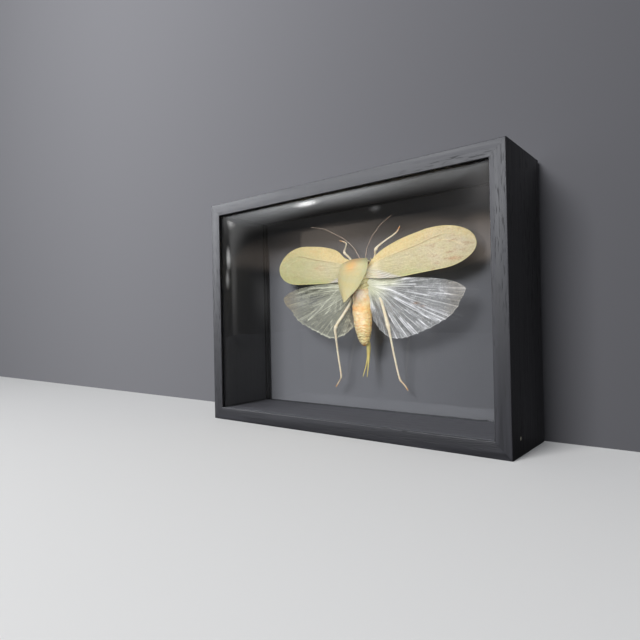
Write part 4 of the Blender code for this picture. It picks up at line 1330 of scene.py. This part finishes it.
def leg_solids(stations, knee, foot, spines, steps, sides=20):
    """A leg: a tube that swells at its knee and in each foot joint, thorns and claws.

    Each swelling is a bell along the leg. Thorns stand in two rows on the shin, leaning
    towards the foot. The claws are two hooks at the end.
    """
    last = len(stations) - 1
    places = np.array([knee, foot, *np.linspace(foot + 0.25, last - 0.2, 4)])
    heights = np.array([0.30, 0.22, 0.20, 0.20, 0.20, 0.25])
    widths = np.array([0.12, 0.06, 0.10, 0.10, 0.10, 0.10])
    swell = lambda along: 1.0 + (heights * bell(along[:, None], places, widths)).sum(1)
    rings = tube(stations, steps, sides, swell)
    along = np.linspace(0.0, last, steps + 1)
    centres = rings.mean(1)
    solids = [closed_loft(rings)]
    for i, place in enumerate(np.linspace(knee + 0.25, foot - 0.15, spines)):
        row = int(round(place / last * steps))
        heading = unit(centres[row + 1] - centres[row - 1])
        corner = sides // 4 + (sides // 8 if i % 2 else -(sides // 8))
        corner += sides // 2 if i % 4 > 1 else 0
        out = rings[row, corner % sides] - centres[row]
        solids.append(thorn(centres[row] + out * 0.8, unit(out) * 0.8 + heading * 0.6, 0.85, 0.11))
    lean = unit(centres[-1] - centres[-4])
    aside = np.cross(lean, unit(rings[-1, 0] - centres[-1]))
    for way in (-1.0, 1.0):
        solids.append(thorn(centres[-1], lean * 0.8 + aside * way * 0.6, 1.0, 0.14))
    brown = 0.35 * ramp(along, foot, foot + 0.5) + 0.65 * ramp(along, last - 0.9, last - 0.2)
    return solids, spread(rings.shape[:2], foot=brown[:, None])


def add_legs():
    ivory = make_horn("ivory_leg", (222, 212, 188), (206, 188, 154), (196, 140, 84))
    for side, sign in SIDES.items():
        legs = {
            "front": (FRONT_LEGS[side], 2.0, 4.0, 6, 130),
            "middle": (MIDDLE_LEG, 2.0, 4.0, 6, 130),
            "rear": (REAR_LEGS[side], 3.0, 6.0, 22, 200),
        }
        for kind, (stations, *settings) in legs.items():
            solids, masks = leg_solids(mirrored(stations, sign), *settings)
            make_piece(
                f"thorny_{kind}_leg_{side}", solids, ivory, (f"{kind}_leg_{side}",), masks
            )


def add_antennae():
    """Two hair-thin feelers, thickest at the root and ringed along their length."""
    hair = make_horn("brown_feeler", (188, 170, 154), (154, 136, 124))
    thin = lambda along: (1.0 - 0.38 * (along / 7.0) ** 0.6) * (1.0 + 0.10 * np.sin(along * 60.0))
    for side, sign in SIDES.items():
        rings = tube(mirrored(ANTENNAE[side], sign), 320, 10, thin)
        make_piece(f"feeler_{side}", [closed_loft(rings)], hair, (f"antenna_{side}",))


def add_ovipositor():
    """The egg-laying blades: flat, side by side at the root and parted at the tips."""
    green = make_horn("green_blade", (190, 176, 112), (164, 140, 78))
    thin = lambda along: 1.0 - 0.35 * ramp(along, 0.0, 6.0) ** 3
    keel = lambda turn: 1.0 + 0.12 * np.cos(2 * turn)
    blades = [tube(mirrored(BLADE, sign), 90, 20, thin, keel) for sign in SIDES.values()]
    solids = [closed_loft(rings) for rings in blades]
    make_piece("egg_blades", solids, green, ("ovipositor",))


def add_glue():
    """A low dab between chest and pane: radius by its lift, its outline slightly wavy."""
    lift, radius = np.array(GLUE).T[:, :, None]
    turn = around(48)
    radius = radius * (1.0 + 0.05 * np.sin(3 * turn + 0.6) + 0.03 * np.sin(5 * turn))
    rings = placed(radius * np.cos(turn), lift, GLUE_Z + radius * np.sin(turn))
    make_piece("glue_drop", [closed_loft(rings)], make_glue(), ("glue_dab",))


# ---------------------------------------------------------------- stage

STAGE_REACH = 3.0
WALL_GAP, WALL_PATCH_INSET = 1.5, 2.0
INSECT_PIECES = (
    "chest", "ringed_abdomen", "hood_shell", "head_shell", "eyes", "leathery_wing_",
    "pleated_wing_", "thorny_", "feeler_", "egg_blades",
)
TARGET = (0.0, 0.0, 0.1)
# Soft lamps in the room as shiny things see it: aim, stretch, reach and brightness.
SEEN_LAMPS = (
    ((-0.624, -0.585, 0.517), (4.0, 1.0, 1.0), 0.10, 8.5),
    ((-0.523, -0.811, 0.264), (3.0, 1.0, 0.8), 0.038, 0.8),
    ((-0.780, -0.545, 0.305), (1.7, 1.0, 1.0), 0.09, 2.4),
    ((-0.716, -0.696, 0.050), (5.0, 1.0, 1.0), 0.07, 0.22),
    ((-0.770, -0.610, 0.180), (3.0, 3.0, 1.0), 0.30, 0.50),
    ((-0.862, -0.490, 0.126), (1.0, 1.0, 5.0), 0.14, 2.6),
    ((-0.892, -0.440, 0.087), (1.0, 1.0, 5.4), 0.13, 1.2),
)
WHITE, COOL = (1.0, 1.0, 1.0), (0.93, 0.95, 1.0)
# Area lamps: place, size, power, colour, what they light and whether glass mirrors them.
AREA_LAMPS = {
    "ceiling_panel": ((-0.16, -1.15, 0.82), (0.6, 0.5), 17.0, WHITE, "others", False),
    "front_panel": ((0.18, -1.40, 0.38), (1.3, 0.7), 14.5, WHITE, "insect", False),
    "side_panel": ((0.85, -1.15, 0.34), (0.8, 0.6), 15.0, WHITE, "insect", False),
    "top_panel": ((-0.12, -1.15, 0.82), (0.9, 0.5), 5.0, WHITE, "insect", False),
    "left_sheen_panel": ((-1.10, -0.80, 0.50), (0.6, 0.6), 16.5, COOL, "rails", True),
    "right_sheen_panel": ((-0.30, -1.30, 0.62), (0.5, 0.5), 20.5, COOL, "rails", True),
}
CAMERA_PLACE, CAMERA_LENS = (0.223108, -0.320595, 0.078255), 29.429
CAMERA_FORWARD, CAMERA_UP = (-0.62379, 0.78156, 0.006785), (0.01978, 0.00711, 0.99978)


def grey(level):
    return (level, level, level, 1.0)


def add_plane(name, corners, material):
    mesh = new_mesh(name, corners, [(0, 1, 2, 3)])
    mesh.materials.append(material)
    new_object(name, mesh)


def add_stage():
    """A pale floor, and a grey wall that is only seen from its front.

    The floor is dark to glossy and diffuse rays. The wall's colour is painted darker to the
    right, as a falloff of light, but for a paler patch painted behind the panes as a pool of
    light; diffuse and shadow rays pass through it.
    """
    s = STAGE_REACH
    floor = Paint("pale_floor").set(Roughness=0.8, Specular_IOR_Level=0.2)
    path = floor.path()
    unseen = floor.most(floor.math("MINIMUM", path["Glossy Depth"], 1.0), path["Is Diffuse Ray"])
    floor.set(Base_Color=floor.mix(unseen, grey(0.80), grey(0.03)))
    add_plane("floor", [(-s, -s, 0), (s, -s, 0), (s, s, 0), (-s, s, 0)], floor.material)
    wall = Paint("grey_wall").set(Roughness=0.95, Specular_IOR_Level=0.1)
    along = wall.axes(wall.place())
    # Painted falloff of light: the wall's colour darkens from left to right.
    painted_falloff = wall.fade(along["X"], -0.45, 0.35)
    colour = wall.mix(painted_falloff, (0.283, 0.284, 0.307, 1.0), (0.122, 0.123, 0.135, 1.0))
    aside = wall.math("ABSOLUTE", along["X"])
    # Painted pool of light: a paler patch on the wall behind the panes.
    painted_light_patch = wall.times(
        wall.math("LESS_THAN", aside, (CASE_WIDTH / 2 - WALL_PATCH_INSET) * MM),
        wall.math("LESS_THAN", along["Z"], (CASE_HEIGHT - WALL_PATCH_INSET) * MM),
        wall.fade(along["X"], 0.02, 0.12, 0.20, 0.0),
    )
    wall.set(Base_Color=wall.mix(painted_light_patch, colour, wall.mix(1.0, colour, grey(2.0), "MULTIPLY")))
    path = wall.path()
    behind = wall.call("ShaderNodeNewGeometry", output="Backfacing")
    unseen = wall.most(behind, path["Is Shadow Ray"], path["Is Diffuse Ray"])
    nothing = wall.call("ShaderNodeBsdfTransparent")
    wall.show(wall.mix_shaders(unseen, wall.shader.outputs[0], nothing))
    y = (CASE_DEPTH / 2 + WALL_GAP) * MM
    add_plane("wall", [(-s, y, 0), (s, y, 0), (s, y, s), (-s, y, s)], wall.material)


def add_room():
    """A world coloured by direction: a dim room with a bright ceiling.

    What shiny things mirror of it has a warm band over the horizon, a dark one above it
    and a bright ceiling that reaches lower on the left. Its lamps are soft spots: each
    fades with the distance between the look and its aim, both stretched alike. The
    camera, and all that is dull, see the room plain.
    """
    world = bpy.data.worlds.new("studio")
    bpy.context.scene.world = world
    world.use_nodes = True
    room = Paint(tree=world.node_tree)
    look = room.place("Generated")
    axes = room.axes(look)
    x, z = axes["X"], axes["Z"]
    leftward = room.most(room.math("SUBTRACT", -0.60, x), 0.0)
    tilted = room.math("MULTIPLY_ADD", leftward, 0.35, z)
    level = room.plus(room.fade(x, -0.78, -0.62, 0.2, 0.56), room.fade(x, -0.2, 0.0, 0.0, 0.4))
    band = room.times(room.fade(z, 0.098, 0.125), room.fade(tilted, 0.172, 0.202, 1.0, 0.0), level)
    beside = room.times(room.fade(x, -0.50, 0.10), room.fade(x, 0.28, 0.50, 1.0, 0.0))
    upper = room.mix(beside, (0.10, 0.095, 0.09, 1.0), (0.85, 0.82, 0.81, 1.0))
    colour = room.mix(room.fade(z, 0.17, 0.24), (0.05, 0.05, 0.048, 1.0), upper)
    colour = room.mix(band, colour, (1.00, 0.84, 0.72, 1.0))
    high = room.plus(
        z, room.fade(x, -0.78, -0.58, 0.22, 0.0), room.fade(x, -0.45, -0.20, 0.0, 0.08)
    )
    ceiling = room.times(
        room.fade(high, 0.31, 0.72, 0.0, 4.0), room.fade(x, -0.78, -0.58, 0.15, 1.0),
        room.fade(x, -0.60, -0.42, 1.0, 0.35),
    )
    ceiling = room.mix(1.0, (0.97, 1.0, 1.04, 1.0), ceiling, "MULTIPLY")
    colour = room.mix(1.0, colour, ceiling, "ADD")
    for aim, stretch, reach, power in SEEN_LAMPS:
        stretched = room.call("ShaderNodeVectorMath", {0: look, 1: stretch}, operation="MULTIPLY")
        ends = {0: stretched, 1: tuple(a * b for a, b in zip(aim, stretch))}
        apart = room.call("ShaderNodeVectorMath", ends, "Value", operation="DISTANCE")
        colour = room.mix(1.0, colour, room.fade(apart, 0.0, reach, power, 0.0), "ADD")
    path = room.path()
    bounces = room.plus(path["Glossy Depth"], path["Diffuse Depth"])
    colour = room.mix(path["Is Diffuse Ray"], colour, (0.22, 0.225, 0.235, 1.0))
    straight = room.math("LESS_THAN", bounces, 0.5)
    colour = room.mix(straight, colour, (0.55, 0.56, 0.58, 1.0))
    room.put(world.node_tree.nodes["Background"].inputs["Color"], colour)


def add_lamps():
    """Soft light from above and in front: one key lamp for the case and the stage, three
    from both sides for the insect, and two from the left for a sheen on the rails."""
    meshes = [o for o in bpy.data.objects if o.type == "MESH"]
    lit = {
        "insect": [o for o in meshes if o.name.startswith(INSECT_PIECES)],
        "others": [o for o in meshes if not o.name.startswith(INSECT_PIECES)],
        "rails": [o for o in meshes if o.name.startswith("wood_rail_")],
    }
    for name, (place, size, power, colour, pieces, mirrored_by_glass) in AREA_LAMPS.items():
        light = bpy.data.lights.new(name, "AREA")
        light.shape, light.energy, light.color = "RECTANGLE", power, colour
        light.size, light.size_y = size
        lamp = new_object(name, light)
        lamp.location = place
        lamp.rotation_euler = (Vector(TARGET) - lamp.location).to_track_quat("-Z", "Y").to_euler()
        lamp.visible_camera = False
        lamp.visible_glossy = lamp.visible_transmission = mirrored_by_glass
        receivers = bpy.data.collections.new(name)
        for piece in lit[pieces]:
            receivers.objects.link(piece)
        lamp.light_linking.receiver_collection = receivers


def add_camera():
    forward = Vector(CAMERA_FORWARD).normalized()
    right = forward.cross(Vector(CAMERA_UP)).normalized()
    data = bpy.data.cameras.new("camera")
    data.sensor_width, data.lens = 36.0, CAMERA_LENS
    data.clip_start, data.clip_end = 0.01, 20.0
    camera = new_object("camera", data)
    camera.matrix_world = Matrix((right, right.cross(forward), -forward)).transposed().to_4x4()
    camera.location = CAMERA_PLACE
    bpy.context.scene.camera = camera


add_rails()
add_nail()
add_panes()
SHELL = make_shell()
add_thorax()
add_abdomen()
add_hood(SHELL)
add_head(SHELL)
for wing_side in SIDES:
    add_forewing(wing_side)
    add_hindwing(wing_side)
add_legs()
add_antennae()
add_ovipositor()
add_glue()
add_stage()
add_room()
add_lamps()
add_camera()
bpy.context.scene.view_settings.view_transform = "Standard"
